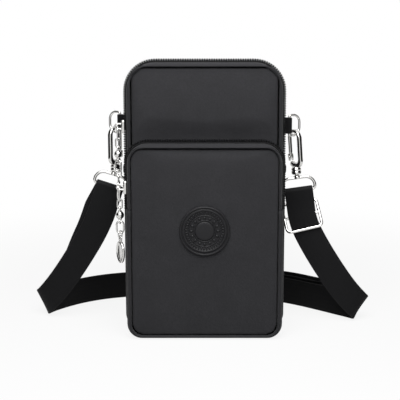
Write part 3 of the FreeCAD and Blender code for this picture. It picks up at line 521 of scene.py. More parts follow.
def add_tube(bm, points, section, closed=False, start=None, scale=None):
    """Sweep a section along a path; scale gives the section's two factors at each point."""
    points = [Vector(p) for p in points]
    rings = []
    for i, (p, (side, up)) in enumerate(zip(points, frames_along(points, closed, start))):
        a, b = scale(i) if scale else (1.0, 1.0)
        rings.append([p + side * (x * a) + up * (y * b) for x, y in section])
    if closed:
        rings.append(rings[0])
    add_loft(bm, rings, caps=not closed)


def add_wire(bm, path, radius, count=14):
    """A closed loop of round wire."""
    add_tube(bm, path, rounded_section(radius, radius, count=count), True)


def add_lathe(bm, profile, matrix, count=24):
    """Turn a profile of radius and height round the local Z axis."""
    least = 1e-5
    add_loft(bm, [[matrix @ Vector((x, y, z)) for x, y in circle(max(radius, least), count)]
                  for radius, z in profile])


def placed(points, matrix):
    """Points in the local XZ plane, moved to their place."""
    return [matrix @ Vector((x, 0.0, z)) for x, z in points]


def sheet(name, verts, faces, places):
    """A smooth mesh with a UV map in metres from each vertex's own place across and along it."""
    mesh = bpy.data.meshes.new(name)
    mesh.from_pydata(verts, [], faces)
    layer = mesh.uv_layers.new(name="strip")
    for loop in mesh.loops:
        layer.data[loop.index].uv = places[loop.vertex_index]
    mesh.shade_smooth()
    return mesh


def strip_piece(name, points_of, stations, wall, finish, node):
    """A sewn strip with a thickness inwards: each station is a place from front to rear and an outline."""
    rings = [[Vector((x, y, z)) for x, z in points_of(outline)] for y, outline in stations]
    verts, faces, places = [], [], []
    count = len(rings[0])
    across = 0.0
    for r, ring in enumerate(rings):
        if r:
            across += (ring[count // 2] - rings[r - 1][count // 2]).length
        along = 0.0
        for i, p in enumerate(ring):
            if i:
                along += (p - ring[i - 1]).length
            verts.append(p)
            places.append((across, along))
    for r in range(len(rings) - 1):
        for i in range(count - 1):
            a = r * count + i
            faces.append((a, a + 1, a + count + 1, a + count))
    piece = new_piece(name, sheet(name, verts, faces, places), finish, "bag", [node])
    solid = piece.modifiers.new("thickness", "SOLIDIFY")
    solid.thickness = wall
    solid.offset = -1.0
    solid.use_even_offset = False


def ribbon_mesh(name, points, widths, width, wall):
    """Flat webbing with rounded selvedges along a path, with a UV map in metres."""
    half, thin = width / 2, wall / 2
    flat = half - 0.35 * wall
    row = (-flat, -half / 2, 0.0, half / 2, flat)
    section = [(-half, 0.0), *((x, -thin) for x in row), (half, 0.0), *((x, thin) for x in row[::-1])]
    verts, faces, places = [], [], []
    along = 0.0
    count = len(section)
    last = len(points) - 1
    for i, p in enumerate(points):
        tangent = (points[min(i + 1, last)] - points[max(i - 1, 0)]).normalized()
        side = widths[i] - tangent * widths[i].dot(tangent)
        side.normalize()
        normal = tangent.cross(side)
        if i:
            along += (p - points[i - 1]).length
        for x, y in section:
            verts.append(p + side * x + normal * y)
            places.append((x + half, along))
    for r in range(last):
        a, b = r * count, (r + 1) * count
        for i in range(count):
            j = (i + 1) % count
            faces.append((a + i, b + i, b + j, a + j))
    faces.append(tuple(range(count)))
    faces.append(tuple(range(last * count, (last + 1) * count))[::-1])
    mesh = sheet(name, verts, faces, places)
    mesh.set_sharp_from_angle(angle=math.radians(50))
    return mesh


def route_points(points):
    """Points read from a NURBS spline that has the route's own points as its control points."""
    curve = bpy.data.curves.new("route", "CURVE")
    curve.dimensions = "3D"
    curve.resolution_u = 10
    spline = curve.splines.new("NURBS")
    spline.points.add(len(points) - 1)
    for point, place in zip(spline.points, points):
        point.co = (*place, 1.0)
    spline.order_u = 3
    spline.use_endpoint_u = True
    mesh = evaluated(linked("route", curve))
    result = [v.co.copy() for v in mesh.vertices]
    bpy.data.curves.remove(curve)
    bpy.data.meshes.remove(mesh)
    return result


def strap_along(route):
    """Middle line and width directions of the webbing along a route."""
    reach = 0.01
    middle = route_points([p for p, w in route])
    edge = route_points([Vector(p) + Vector(w).normalized() * reach for p, w in route])
    return middle, [b - a for a, b in zip(middle, edge)]


def row_tree():
    """Geometry nodes that set small rounded pieces in a row along a path."""
    tree = bpy.data.node_groups.new("row_of_pieces", "GeometryNodeTree")
    face = tree.interface
    face.new_socket("Path", in_out="INPUT", socket_type="NodeSocketGeometry")
    for name in ("Pitch", "Piece Length", "Piece Width", "Piece Height"):
        face.new_socket(name, in_out="INPUT", socket_type="NodeSocketFloat")
    face.new_socket("Finish", in_out="INPUT", socket_type="NodeSocketMaterial")
    face.new_socket("Pieces", in_out="OUTPUT", socket_type="NodeSocketGeometry")
    given = tree.nodes.new("NodeGroupInput").outputs
    line = add_node(tree, "GeometryNodeMeshToCurve", {"Mesh": given["Path"]})
    spaced = add_node(tree, "GeometryNodeResampleCurve", {"Curve": line.outputs[0],
                                                          "Length": given["Pitch"]}, mode="LENGTH")
    tangent = add_node(tree, "GeometryNodeInputTangent")
    up = add_node(tree, "GeometryNodeInputNamedAttribute", {"Name": "up"}, data_type="FLOAT_VECTOR")
    turn = add_node(tree, "FunctionNodeAxesToRotation",
                    {"Primary Axis": tangent.outputs[0], "Secondary Axis": up.outputs[0]},
                    primary_axis="X", secondary_axis="Z")
    grain = add_node(tree, "GeometryNodeMeshUVSphere", {"Segments": 8, "Rings": 5, "Radius": 0.5})
    size = add_node(tree, "ShaderNodeCombineXYZ", {0: given["Piece Length"], 1: given["Piece Width"],
                                                   2: given["Piece Height"]})
    pieces = add_node(tree, "GeometryNodeInstanceOnPoints",
                      {"Points": spaced.outputs[0], "Instance": grain.outputs[0],
                       "Rotation": turn.outputs[0], "Scale": size.outputs[0]})
    real = add_node(tree, "GeometryNodeRealizeInstances", {0: pieces.outputs[0]})
    smooth = add_node(tree, "GeometryNodeSetShadeSmooth", {0: real.outputs[0]})
    finish = add_node(tree, "GeometryNodeSetMaterial", {"Geometry": smooth.outputs[0],
                                                        "Material": given["Finish"]})
    result = tree.nodes.new("NodeGroupOutput")
    tree.links.new(finish.outputs[0], result.inputs[0])
    return tree


def row_mesh(name, rows, pitch, piece, finish):
    """One mesh of all the small pieces along some paths; each path is points and up directions."""
    tree = bpy.data.node_groups.get("row_of_pieces") or row_tree()
    verts, edges, ups = [], [], []
    for points, up in rows:
        first = len(verts)
        verts += [tuple(p) for p in points]
        ups += [tuple(u) for u in up]
        edges += [(first + i, first + i + 1) for i in range(len(points) - 1)]
    path = bpy.data.meshes.new(f"{name}_path")
    path.from_pydata(verts, edges, [])
    layer = path.attributes.new("up", "FLOAT_VECTOR", "POINT")
    for i, up in enumerate(ups):
        layer.data[i].vector = up
    guide = linked(f"{name}_path", path)
    modifier = guide.modifiers.new("row", "NODES")
    modifier.node_group = tree
    values = {"Pitch": pitch, "Piece Length": piece[0], "Piece Width": piece[1],
              "Piece Height": piece[2], "Finish": finish_of(finish)}
    for item in tree.interface.items_tree:
        if item.item_type == "SOCKET" and item.in_out == "INPUT" and item.name in values:
            modifier[item.identifier] = values[item.name]
    mesh = evaluated(guide)
    mesh.name = name
    bpy.data.meshes.remove(path)
    if not mesh.polygons:
        raise RuntimeError(f"{name} came out empty")
    return mesh


def outlines(sizes):
    """The pouch's outlines, from the solids' own boxes."""
    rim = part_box("main_rear_gusset")[1]
    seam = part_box("main_front_panel")
    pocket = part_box("pocket_front_gusset")[1]
    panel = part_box("pocket_panel")
    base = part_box("main_bottom_gusset")[0][2]
    sewn_below = 0.002
    return {
        "main_rim": Outline(rim[0], base, rim[2], sizes.base_radius, sizes.main_top_radius),
        "main_seam": Outline(seam[1][0], seam[0][2], seam[1][2], sizes.base_seam_radius,
                             sizes.main_seam_radius),
        "pocket_rim": Outline(pocket[0], base, pocket[2], sizes.base_radius, sizes.pocket_top_radius),
        "pocket_seam": Outline(panel[1][0], panel[0][2], panel[1][2], sizes.base_seam_radius,
                               sizes.pocket_seam_radius).inset(sizes.pocket_band),
        "pocket_back": Outline(seam[1][0], panel[0][2], pocket[2] - sewn_below, sizes.base_seam_radius,
                               sizes.pocket_back_radius),
    }


def zip_places():
    """Front and rear edge and lower end of each zip, from its tapes."""
    places = {}
    for prefix in ("main", "pocket"):
        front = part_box(f"{prefix}_zip_tape_front")
        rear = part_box(f"{prefix}_zip_tape_rear")
        places[prefix] = front[0][1], rear[1][1], front[0][2]
    return places


def blown_up(name, mesh, depths, outward, sizes):
    """How far cloth pressure moves each point of a panel outwards; its edge is held."""
    scene = bpy.context.scene
    start = [v.co.y for v in mesh.vertices]
    piece = linked(f"{name}_cloth", mesh)
    held = piece.vertex_groups.new(name="held")
    held.add([i for i, depth in enumerate(depths) if depth < sizes.cell / 2], 1.0, "REPLACE")
    cloth = piece.modifiers.new("cloth", "CLOTH")
    for key, value in CLOTH.items():
        setattr(cloth.settings, key, value)
    cloth.settings.effector_weights.gravity = 0.0
    cloth.collision_settings.use_collision = False
    cloth.point_cache.frame_start = 1
    cloth.point_cache.frame_end = CLOTH_FRAMES
    for step in range(1, CLOTH_FRAMES + 1):
        scene.frame_set(step)
    graph = bpy.context.evaluated_depsgraph_get()
    blown = piece.evaluated_get(graph).data
    moved = [(v.co.y - y) * outward for v, y in zip(blown.vertices, start)]
    scene.frame_set(1)
    piece.modifiers.remove(cloth)
    bpy.data.objects.remove(piece)
    return moved


def padded_panel(name, outline, seat, outward, sizes, drawn_in):
    """A padded panel: fabric over foam, sewn down along its edge, and also up to a drawn-in height where
    one is given, and blown up by cloth pressure until the foam stops it."""
    edge = outline.inset(SEAM_GAP)
    slab = mesh_from(f"{name}_slab", lambda bm: add_loft(
        bm, [[(x, y, z) for x, z in edge.whole()] for y in (seat - SLAB_DEPTH * outward, seat)]))
    piece = linked(f"{name}_slab", slab)
    grid = piece.modifiers.new("grid", "REMESH")
    grid.mode = "VOXEL"
    grid.voxel_size = sizes.cell
    even = evaluated(piece)
    bpy.data.meshes.remove(slab)
    start = [v.co.copy() for v in even.vertices]
    depths = [edge.depth(p.x, p.z) for p in start]
    moved = blown_up(name, even, depths, outward, sizes)
    for vertex, p, depth, rise in zip(even.vertices, start, depths, moved):
        shoulder, dome = (math.sin(clamped(depth / reach) * math.pi / 2)
                          for reach in (sizes.shoulder, sizes.dome))
        most = sizes.crown * (0.66 * shoulder ** 0.7 + 0.34 * dome)
        if drawn_in:
            free = clamped((p.z - drawn_in) / sizes.draw)
            most *= 0.05 + 0.95 * free * free * (3 - 2 * free)
        if (p.y - seat) * outward > -RISING_DEPTH:
            vertex.co.y = p.y + min(max(rise, 0.0), most) * outward
    even.name = name
    even.shade_smooth()
    return even


def rolled(seam, rim, front, rear, steps, fullness=0.75):
    """Stations of a soft edge that rolls from a seam to a rim, straight where it has no fullness."""
    stations = []
    for i in range(steps + 1):
        t = i / steps * math.pi / 2
        out = fullness * math.sin(t) + (1 - fullness) * i / steps
        back = fullness * (1 - math.cos(t)) + (1 - fullness) * i / steps
        stations.append((front + (rear - front) * back, seam.towards(rim, out)))
    return stations


def banded(seam, rim, face, rear, crown):
    """Stations of a strip that comes up out of the seam's groove as a narrow lip, then rolls back."""
    # Behind the panel's face, and the share of the way from the seam to the rim.
    lip = ((crown + 0.0004, 0.0), (0.0012, 0.08), (0.0008, 0.2))
    roll, roll_share = 0.0007, 0.32
    return ([(face + back, seam.towards(rim, share)) for back, share in lip]
            + rolled(seam.towards(rim, roll_share), rim, face + roll, rear, 10))


def outward_of(line):
    """Outward directions along an outline in the XZ plane that runs from left over the top to right."""
    ups = []
    for i in range(len(line)):
        before, after = line[max(i - 1, 0)], line[min(i + 1, len(line) - 1)]
        along = Vector((after[0] - before[0], 0.0, after[1] - before[1])).normalized()
        ups.append(Vector((-along.z, 0.0, along.x)))
    return ups


def hung(node, drop, turn):
    """Place of a piece that hangs from its top, turned about the upright."""
    low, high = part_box(node)
    top = Vector(((low[0] + high[0]) / 2, (low[1] + high[1]) / 2, high[2] - drop))
    return Matrix.Translation(top) @ spin(turn, "Z")


def lean_of(side):
    """Place and tilt of the bar that a side's loop is folded round."""
    bar, eye_tilt = HOOKS[side][3:5]
    return Matrix.Translation(bar) @ spin(eye_tilt, "Y")


class POUCH_OT_panels(bpy.types.Operator):
    """Make the three padded panels"""
    bl_idname = "pouch.panels"
    bl_label = "Padded panels"

    def execute(self, context):
        sizes = context.scene.pouch_sizes
        shapes = outlines(sizes)
        panels = {
            "pocket": ("pocket_panel", shapes["pocket_seam"], -1, None),
            "main_front": ("main_front_panel", shapes["main_seam"], -1, shapes["pocket_back"].top),
            "rear": ("rear_panel", shapes["main_seam"], 1, None),
        }
        for prefix, (node, outline, outward, drawn_in) in panels.items():
            name = f"{prefix}_padded"
            low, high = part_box(node)
            face = high[1] if outward > 0 else low[1]
            mesh = padded_panel(name, outline, face - sizes.crown * outward, outward, sizes, drawn_in)
            nodes = [f"{prefix}_{layer}" for layer in ("panel", "padding", "lining")]
            piece = new_piece(name, mesh, "padded", "bag", nodes)
            smooth = piece.modifiers.new("soft", "SUBSURF")
            smooth.levels = 1
            smooth.render_levels = 1
        return {"FINISHED"}


class POUCH_OT_gussets(bpy.types.Operator):
    """Sew the strips round the pocket and the main compartment"""
    bl_idname = "pouch.gussets"
    bl_label = "Gussets"

    def execute(self, context):
        sizes = context.scene.pouch_sizes
        shapes = outlines(sizes)
        for prefix, (front, rear, level) in zip_places().items():
            rim, seam = shapes[f"{prefix}_rim"], shapes[f"{prefix}_seam"]
            back = shapes["pocket_back" if prefix == "pocket" else "main_seam"]
            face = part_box("pocket_panel" if prefix == "pocket" else "main_front_panel")[0][1]
            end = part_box(f"{prefix}_rear_gusset")[1][1]
            crest = rim.inset(getattr(sizes, f"{prefix}_hem_drop"))
            fold = crest.inset(HEM_FOLD)
            parts = {
                "front": (lambda o: o.upper(level),
                          banded(seam, crest, face, front, sizes.crown) + [(front + HEM_TURN, fold)]),
                "rear": (lambda o: o.upper(level),
                         [(rear - HEM_TURN, fold)] + rolled(back, crest, end, rear, 12, 0.1)[::-1]),
                "bottom": (lambda o: o.lower(level),
                           banded(seam, rim, face, front, sizes.crown)
                           + rolled(back, rim, end, rear, 12, 0.0)[::-1]),
            }
            for part, (points_of, stations) in parts.items():
                node = f"{prefix}_{part}_gusset"
                strip_piece(f"{node}_sewn", points_of, stations, GUSSET_WALL, "sewn", node)
        return {"FINISHED"}


class POUCH_OT_zips(bpy.types.Operator):
    """Lay the zips' tapes and coil teeth"""
    bl_idname = "pouch.zips"
    bl_label = "Zips"

    def execute(self, context):
        sizes = context.scene.pouch_sizes
        shapes = outlines(sizes)
        # Each tape from its hidden edge to its middle: place from the edge, and height above the hem.
        tape_steps = ((0.0001, -0.0006), (0.0006, 0.0004), (0.0011, 0.0008), (0.0018, 0.001), (0.003, 0.001))
        coil_width = 0.0042
        # The stops stand this far out of the rim, and have these half sizes.
        stop_out, stop_half = 0.0002, (0.0007, 0.0019)
        for prefix, (front, rear, level) in zip_places().items():
            rim = shapes[f"{prefix}_rim"]
            drop = getattr(sizes, f"{prefix}_hem_drop")
            tape = rim.inset(drop - tape_steps[-1][1])
            middle = (front + rear) / 2
            for part, edge, inward in (("front", front, 1), ("rear", rear, -1)):
                stations = [(edge + inward * step, rim.inset(drop - rise)) for step, rise in tape_steps]
                stations = (stations + [(middle, tape)])[::inward]
                strip_piece(f"{prefix}_{part}_tape", lambda o: o.upper(level), stations, TAPE_WALL, "tape",
                            f"{prefix}_zip_tape_{part}")
            line = tape.inset(-0.2 * sizes.tooth_rise).upper(level)
            points = [Vector((x, middle, z)) for x, z in line]
            turn = (0.92 * sizes.tooth_pitch, coil_width, 1.8 * sizes.tooth_rise)
            mesh = row_mesh(f"{prefix}_coil", [(points, outward_of(line))], sizes.tooth_pitch, turn, "coil")
            new_piece(f"{prefix}_coil", mesh, "coil", "bag", [f"{prefix}_zip_chain"])
            low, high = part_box(f"{prefix}_zip_stops")
            stop_steps = ((low[2] - 0.003, 0.55), (low[2] - 0.002, 0.9), (high[2] - 0.0012, 1.0),
                          (high[2] - 0.0005, 0.9), (high[2] - 0.0001, 0.5))

            def stops(bm):
                for sign in (-1, 1):
                    x = sign * (rim.half + stop_out)
                    rings = []
                    for z, share in stop_steps:
                        section = rounded_section(*(half * share for half in stop_half), 3.0)
                        rings.append([(x + a, middle + b, z) for a, b in section])
                    add_loft(bm, rings)

            new_piece(f"{prefix}_zip_ends", mesh_from(f"{prefix}_zip_ends", stops), "tape", "bag",
                      [f"{prefix}_zip_stops"])
        return {"FINISHED"}


class POUCH_OT_badge(bpy.types.Operator):
    """Mould the round badge, left bare in its middle"""
    bl_idname = "pouch.badge"
    bl_label = "Badge"

    def execute(self, context):
        low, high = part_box("badge")
        radius = (high[0] - low[0]) / 2
        rise = high[1] - low[1]
        turn = Matrix.Translation(((low[0] + high[0]) / 2, high[1], (low[2] + high[2]) / 2)) @ spin(90, "X")
        # Shares of the radius and of the rise, from the edge to the middle.
        profile_shares = (
            (0.0, -0.7), (1.0, -0.7), (1.0, 0.5), (0.99, 0.82), (0.97, 0.97), (0.955, 1.0), (0.94, 0.97),
            (0.925, 0.8), (0.915, 0.3), (0.88, 0.28), (0.87, 0.46), (0.84, 0.5), (0.81, 0.46), (0.8, 0.3),
            (0.655, 0.3), (0.645, 0.55), (0.63, 0.6), (0.615, 0.55), (0.605, 0.3), (0.455, 0.3),
            (0.445, 0.62), (0.43, 0.68), (0.415, 0.62), (0.405, 0.28), (0.385, 0.3), (0.37, 0.7),
            (0.35, 0.84), (0.28, 0.9), (0.15, 0.95), (0.0, 0.97))
        profile = [(r * radius, h * rise) for r, h in profile_shares]
        mesh = mesh_from("moulded_badge", lambda bm: add_lathe(bm, profile, turn, 96), CREASE)
        new_piece("moulded_badge", mesh, "rubber", "bag", ["badge"])
        # Two rows of plain relief: share of the radius, spacing, then length and width of a piece.
        rows = ((0.728, 0.0018, 0.0009, 0.0026), (0.53, 0.0034, 0.002, 0.0024))
        for i, (share, pitch, long, wide) in enumerate(rows):
            ring = circle(share * radius, 120)
            points = [turn @ Vector((x, y, 0.35 * rise)) for x, y in ring + ring[:1]]
            mesh = row_mesh("badge_row", [(points, [(0.0, -1.0, 0.0)] * len(points))], pitch,
                            (long, wide, 1.1 * rise), "rubber")
            new_piece(f"badge_ticks_{i}", mesh, "rubber", "bag")
        return {"FINISHED"}


class POUCH_OT_sliders(bpy.types.Operator):
    """Cast the two zip sliders with their bails"""
    bl_idname = "pouch.sliders"
    bl_label = "Zip sliders"

    def execute(self, context):
        shapes = outlines(context.scene.pouch_sizes)
        mm = 0.001
        # In millimetres: height, then how far the body stands out and its half depth there.
        body_steps = ((-4.5, 1.15, 2.35), (-4.2, 1.55, 2.7), (-3.4, 1.75, 2.9), (0.0, 1.8, 2.95),
                      (3.0, 1.75, 2.95), (4.1, 1.55, 2.85), (4.5, 1.15, 2.5))
        bail = ((1.5, -1.75), (4.6, -1.75), (5.6, -1.35), (6.0, -0.6), (6.0, 0.6), (5.6, 1.35), (4.6, 1.75),
                (1.5, 1.75))
        inner, floor, slot = -0.25, 0.85, 2.05
        for prefix, (front, rear, level) in zip_places().items():
            half = shapes[f"{prefix}_rim"].half
            middle = (front + rear) / 2
            low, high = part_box(f"{prefix}_slider")
            height = (low[2] + high[2]) / 2

            def at(u, v, w):
                return Vector((-half - u * mm, middle + v * mm, height + w * mm))

            def build(bm):
                rings = []
                for w, top, outer in body_steps:
                    section = [(inner, -outer), (top - 0.5, -outer), (top - 0.12, 0.4 - outer),
                               (top, 0.9 - outer), (top, outer - 0.9), (top - 0.12, outer - 0.4),
                               (top - 0.5, outer), (inner, outer), (inner, slot), (floor, slot),
                               (floor, -slot), (inner, -slot)]
                    rings.append([at(u, v, w) for u, v in section])
                add_loft(bm, rings)
                add_tube(bm, [at(u, 0, w) for u, w in bail], rounded_section(0.8 * mm, 0.6 * mm, 2.6),
                         start=(0, 1, 0))

            metal(f"{prefix}_zip_slider", build, f"{prefix}_slider", [f"{prefix}_slider"], 55)
        return {"FINISHED"}


class POUCH_OT_pulls(bpy.types.Operator):
    """Make the chain pulls: ring, link, ball, oval link, jump ring and blank medallion"""
    bl_idname = "pouch.pulls"
    bl_label = "Zip pulls"

    def execute(self, context):
        for prefix, (oval_turn, jump_turn, pendant_turn) in PULL_TURNS.items():
            # Turn, width, length and wire of each link.
            links = {
                "pull_ring": (90.0, 0.0064, 0.011, 0.0012),
                "pull_link": (0.0, 0.0042, 0.0076, 0.001),
                "pull_oval_link": (oval_turn, 0.006, 0.0094, 0.0012),
                "pull_jump_ring": (jump_turn, 0.0054, 0.0057, 0.0009),
            }
            for name, (turn, width, reach, wire) in links.items():
                node = f"{prefix}_{name}"
                half = (width - wire) / 2
                outline = Outline(half, wire - reach, 0.0, half, half)
                path = placed(outline.whole(), hung(node, wire / 2, turn))
                metal(f"{node}_wire", lambda bm: add_wire(bm, path, wire / 2), node, [node])
            self.bead(f"{prefix}_pull_bead")
            self.pendant(f"{prefix}_pull_pendant", pendant_turn)
        return {"FINISHED"}

    def bead(self, node):
        """A ball with an eye above and below."""
        low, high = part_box(node)
        middle = (Vector(low) + Vector(high)) / 2
        radius = (high[0] - low[0]) / 2
        eye_radius, eye_reach, eye_wire = 0.0015, 0.0043, 0.0005
        neck = [(0.0011, -0.0004), (0.0013, 0.0), (0.0011, 0.0004)]
        steps = 16

        def build(bm):
            ball = [(radius * math.cos(t), radius * math.sin(t))
                    for t in (math.pi * (i / steps - 0.5) for i in range(1, steps))]
            add_lathe(bm, [(0.0, -radius), *ball, (0.0, radius)], Matrix.Translation(middle))
            for sign in (-1, 1):
                eye = [middle + Vector((0, y, sign * eye_reach + z)) for y, z in circle(eye_radius, 24)]
                add_wire(bm, eye, eye_wire, 10)
                add_lathe(bm, neck, Matrix.Translation(middle + Vector((0, 0, sign * radius))), 16)

        metal(f"{node}_ball", build, node, [node])

    def pendant(self, node, turn):
        """A blank oval medallion with a raised rim on both faces."""
        wire, eye_radius, half_width, upper = 0.00055, 0.00175, 0.006, -0.0035
        place = hung(node, wire, turn)
        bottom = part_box(node)[0][2] - place.translation.z
        centre, reach = (bottom + upper) / 2, (upper - bottom) / 2
        # From the middle of a face over the rim to the edge: distance from the edge, and height.
        half = [(0.0059, 0.00062), (0.004, 0.00058), (0.0025, 0.00046), (0.0016, 0.0004), (0.0012, 0.0006),
                (0.001, 0.00082), (0.0006, 0.0009), (0.0003, 0.00078), (0.00008, 0.0005), (0.0, 0.0)]

        def oval(inset, y):
            return [place @ Vector(((half_width - inset) * c, y, centre + (reach - inset) * s))
                    for c, s in circle(1.0, 40)]

        def build(bm):
            add_loft(bm, [oval(i, y) for i, y in half] + [oval(i, -y) for i, y in half[-2::-1]])
            add_wire(bm, placed([(x, z - eye_radius) for x, z in circle(eye_radius, 28)], place), wire, 10)

        metal(f"{node}_medallion", build, node, [node])


class POUCH_OT_tabs(bpy.types.Operator):
    """Fold the side tabs round the bars of the D-rings"""
    bl_idname = "pouch.tabs"
    bl_label = "Side tabs"

    def execute(self, context):
        bend = 0.0016
        # One leg of the fold, from the seam to the bend: distance from the bar, and from the middle plane.
        leg = ((0.0078, 0.0010), (0.0055, 0.0009), (0.0032, 0.0011), (0.0012, 0.0016))
        seam, seam_half, seam_face = 0.0044, 0.0036, 0.0014
        for side, (sign, *rest) in HOOKS.items():
            low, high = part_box(f"{side}_tab")
            y = low[1] + 0.002
            bar = RING_BAR[0] * sign
            middle = (low[2] + high[2]) / 2
            line = [(bar - sign * back, -v) for back, v in leg]
            line += [(bar + sign * bend * math.cos(t), bend * math.sin(t))
                     for t in (math.pi * (i / 12 - 0.5) for i in range(13))]
            line += [(bar - sign * back, v) for back, v in leg[::-1]]
            points = [Vector((x, y + v, middle)) for x, v in line]
            mesh = ribbon_mesh(f"{side}_side_tab", points, [Vector(UP)] * len(points), high[2] - low[2],
                               TAB_WALL)
            new_piece(f"{side}_side_tab", mesh, "webbing", "bag", [f"{side}_tab"])
            rows = []
            for out in (-1.0, 1.0):
                row = [Vector((bar - sign * seam, y + out * seam_face, middle + seam_half * (2 * i / 6 - 1)))
                       for i in range(7)]
                rows.append((row, [(0.0, out, 0.0)] * len(row)))
            mesh = row_mesh(f"{side}_tab_stitches", rows, 0.0018, (0.0016, 0.0005, 0.0004), "thread")
            new_piece(f"{side}_tab_stitches", mesh, "thread", "bag")
        return {"FINISHED"}


class POUCH_OT_rings(bpy.types.Operator):
    """Bend the D-rings"""
    bl_idname = "pouch.rings"
    bl_label = "D-rings"

    def execute(self, context):
        outline = Outline(0.0072, 0.0, 0.0092, 0.0014, 0.0056)
        for side, (sign, *rest) in HOOKS.items():
            node = f"{side}_d_ring"
            low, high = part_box(node)
            turn = Matrix.Translation((RING_BAR[0] * sign, RING_BAR[1], (low[2] + high[2]) / 2))
            path = placed(outline.whole(), turn @ spin(RING_YAW * sign, "Z") @ spin(90 * sign, "Y"))
            metal(f"{node}_wire", lambda bm: add_wire(bm, path, 0.0009, 16), node, [node])
        return {"FINISHED"}


class POUCH_OT_hooks(bpy.types.Operator):
    """Cast the swivel snap hooks with their gates, pins and strap eyes"""
    bl_idname = "pouch.hooks"
    bl_label = "Snap hooks"

    # Middle of the gate, left of the hook's middle, and the gate's pin.
    gate_x = -0.0053
    pin_z = -0.0158

    def execute(self, context):
        for side, (sign, origin, tilt, *rest) in HOOKS.items():
            turn = Matrix.Translation(origin) @ spin(tilt, "Y") @ spin(RING_YAW * sign - 90, "Z")
            self.hook(side, turn)
            self.gate(side, turn)
            self.eye(side, lean_of(side))
        return {"FINISHED"}

    def hook(self, side, turn):
        """The hook's loop, open on one side, its barrel, the gate's cheeks and the pin's heads."""
        outline = Outline(0.0053, -0.0215, 0.003, 0.0042, 0.0051)
        level = -0.0104
        tip_z, foot_x = 0.0004, -0.0046
        ring = outline.upper(level, side=12) + outline.lower(level, side=12)[1:]
        start = next(i for i, (x, z) in enumerate(ring) if z > tip_z)
        end = next(i for i, (x, z) in enumerate(ring) if i > len(ring) // 2 and x < foot_x)
        ring = ring[start:end + 1]
        path = placed(ring, turn)
        last = len(path) - 1
        # Where the nose grows narrower, and from where and over what height the heel grows wider.
        nose_z, heel_z, heel_rise = -0.001, -0.0165, 0.004
        # Profiles of radius and height, and the cheeks' heights with shares of their size.
        barrel = [(0.0, -0.0222), (0.0022, -0.0222), (0.0029, -0.0229), (0.0034, -0.0236), (0.0036, -0.0242),
                  (0.0036, -0.0249), (0.00335, -0.0251), (0.00335, -0.0254), (0.0036, -0.0256),
                  (0.0036, -0.0273), (0.0034, -0.0278), (0.0030, -0.0279), (0.0025, -0.0277),
                  (0.0025, -0.0249), (0.0, -0.0249)]
        pin_head = [(0.0, -0.0004), (0.0009, -0.0004), (0.0009, 0.0001), (0.0006, 0.0003), (0.0, 0.00035)]
        cheek = ((-0.0186, 0.6), (-0.0180, 0.95), (-0.0142, 1.0), (-0.0136, 0.6))
        cheek_y, head_y = 0.00132, 0.0016

        def scale(i):
            z = ring[i][1]
            side_size = 0.88 if z > nose_z else 1.0 + 0.35 * clamped((heel_z - z) / heel_rise)
            cap = min(1.0, 0.45 + 0.3 * min(i, last - i))
            return side_size * cap, cap

        def build(bm):
            normal = turn.to_3x3() @ Vector((0, 1, 0))
            first = (path[1] - path[0]).normalized()
            add_tube(bm, path, rounded_section(0.0015, 0.0016, 3.2, 16), start=first.cross(normal),
                     scale=scale)
            add_lathe(bm, barrel, turn, 28)
            for sign in (-1, 1):
                rings = []
                for z, share in cheek:
                    section = rounded_section(0.00145 * share, 0.00028 * min(1.0, share + 0.2), 3.5)
                    rings.append([turn @ Vector((self.gate_x + a, sign * cheek_y + b, z))
                                  for a, b in section])
                add_loft(bm, rings)
                head = turn @ Matrix.Translation((self.gate_x, sign * head_y, self.pin_z))
                add_lathe(bm, pin_head, head @ spin(-90 * sign, "X"), 16)

        metal(f"{side}_snap_hook", build, f"{side}_hook", [f"{side}_hook", f"{side}_gate_pin"], CREASE)

    def gate(self, side, turn):
        """The spring gate, narrow where it turns on its pin."""
        # Height, half width and half depth.
        steps = ((-0.0170, 0.0006, 0.0005), (-0.0166, 0.00105, 0.0007), (-0.0158, 0.00115, 0.00075),
                 (-0.0134, 0.00115, 0.00075), (-0.0131, 0.00115, 0.0012), (-0.0126, 0.00115, 0.0013),
                 (-0.0012, 0.00115, 0.0013), (-0.0005, 0.0009, 0.0012), (-0.0002, 0.0005, 0.0009))
        rings = [[turn @ Vector((self.gate_x + x, y, z)) for x, y in rounded_section(a, b, 3.5)]
                 for z, a, b in steps]
        metal(f"{side}_spring_gate", lambda bm: add_loft(bm, rings), f"{side}_gate", [f"{side}_gate"], CREASE)

    def eye(self, side, lean):
        """The strap's eye with its swivel post and collar."""
        path = placed(Outline(0.0119, 0.0, 0.0094, 0.0024, 0.0064).whole(), lean)
        post = [(0.0, 0.0088), (0.0019, 0.0088), (0.0023, 0.0097), (0.0023, 0.0106), (0.0018, 0.0111),
                (0.0013, 0.0113), (0.0013, 0.0138), (0.0010, 0.0141), (0.0, 0.0143)]

        def build(bm):
            add_wire(bm, path, 0.0011, 16)
            add_lathe(bm, post, lean, 24)

        metal(f"{side}_swivel_eye", build, f"{side}_eye", [f"{side}_eye"], CREASE)


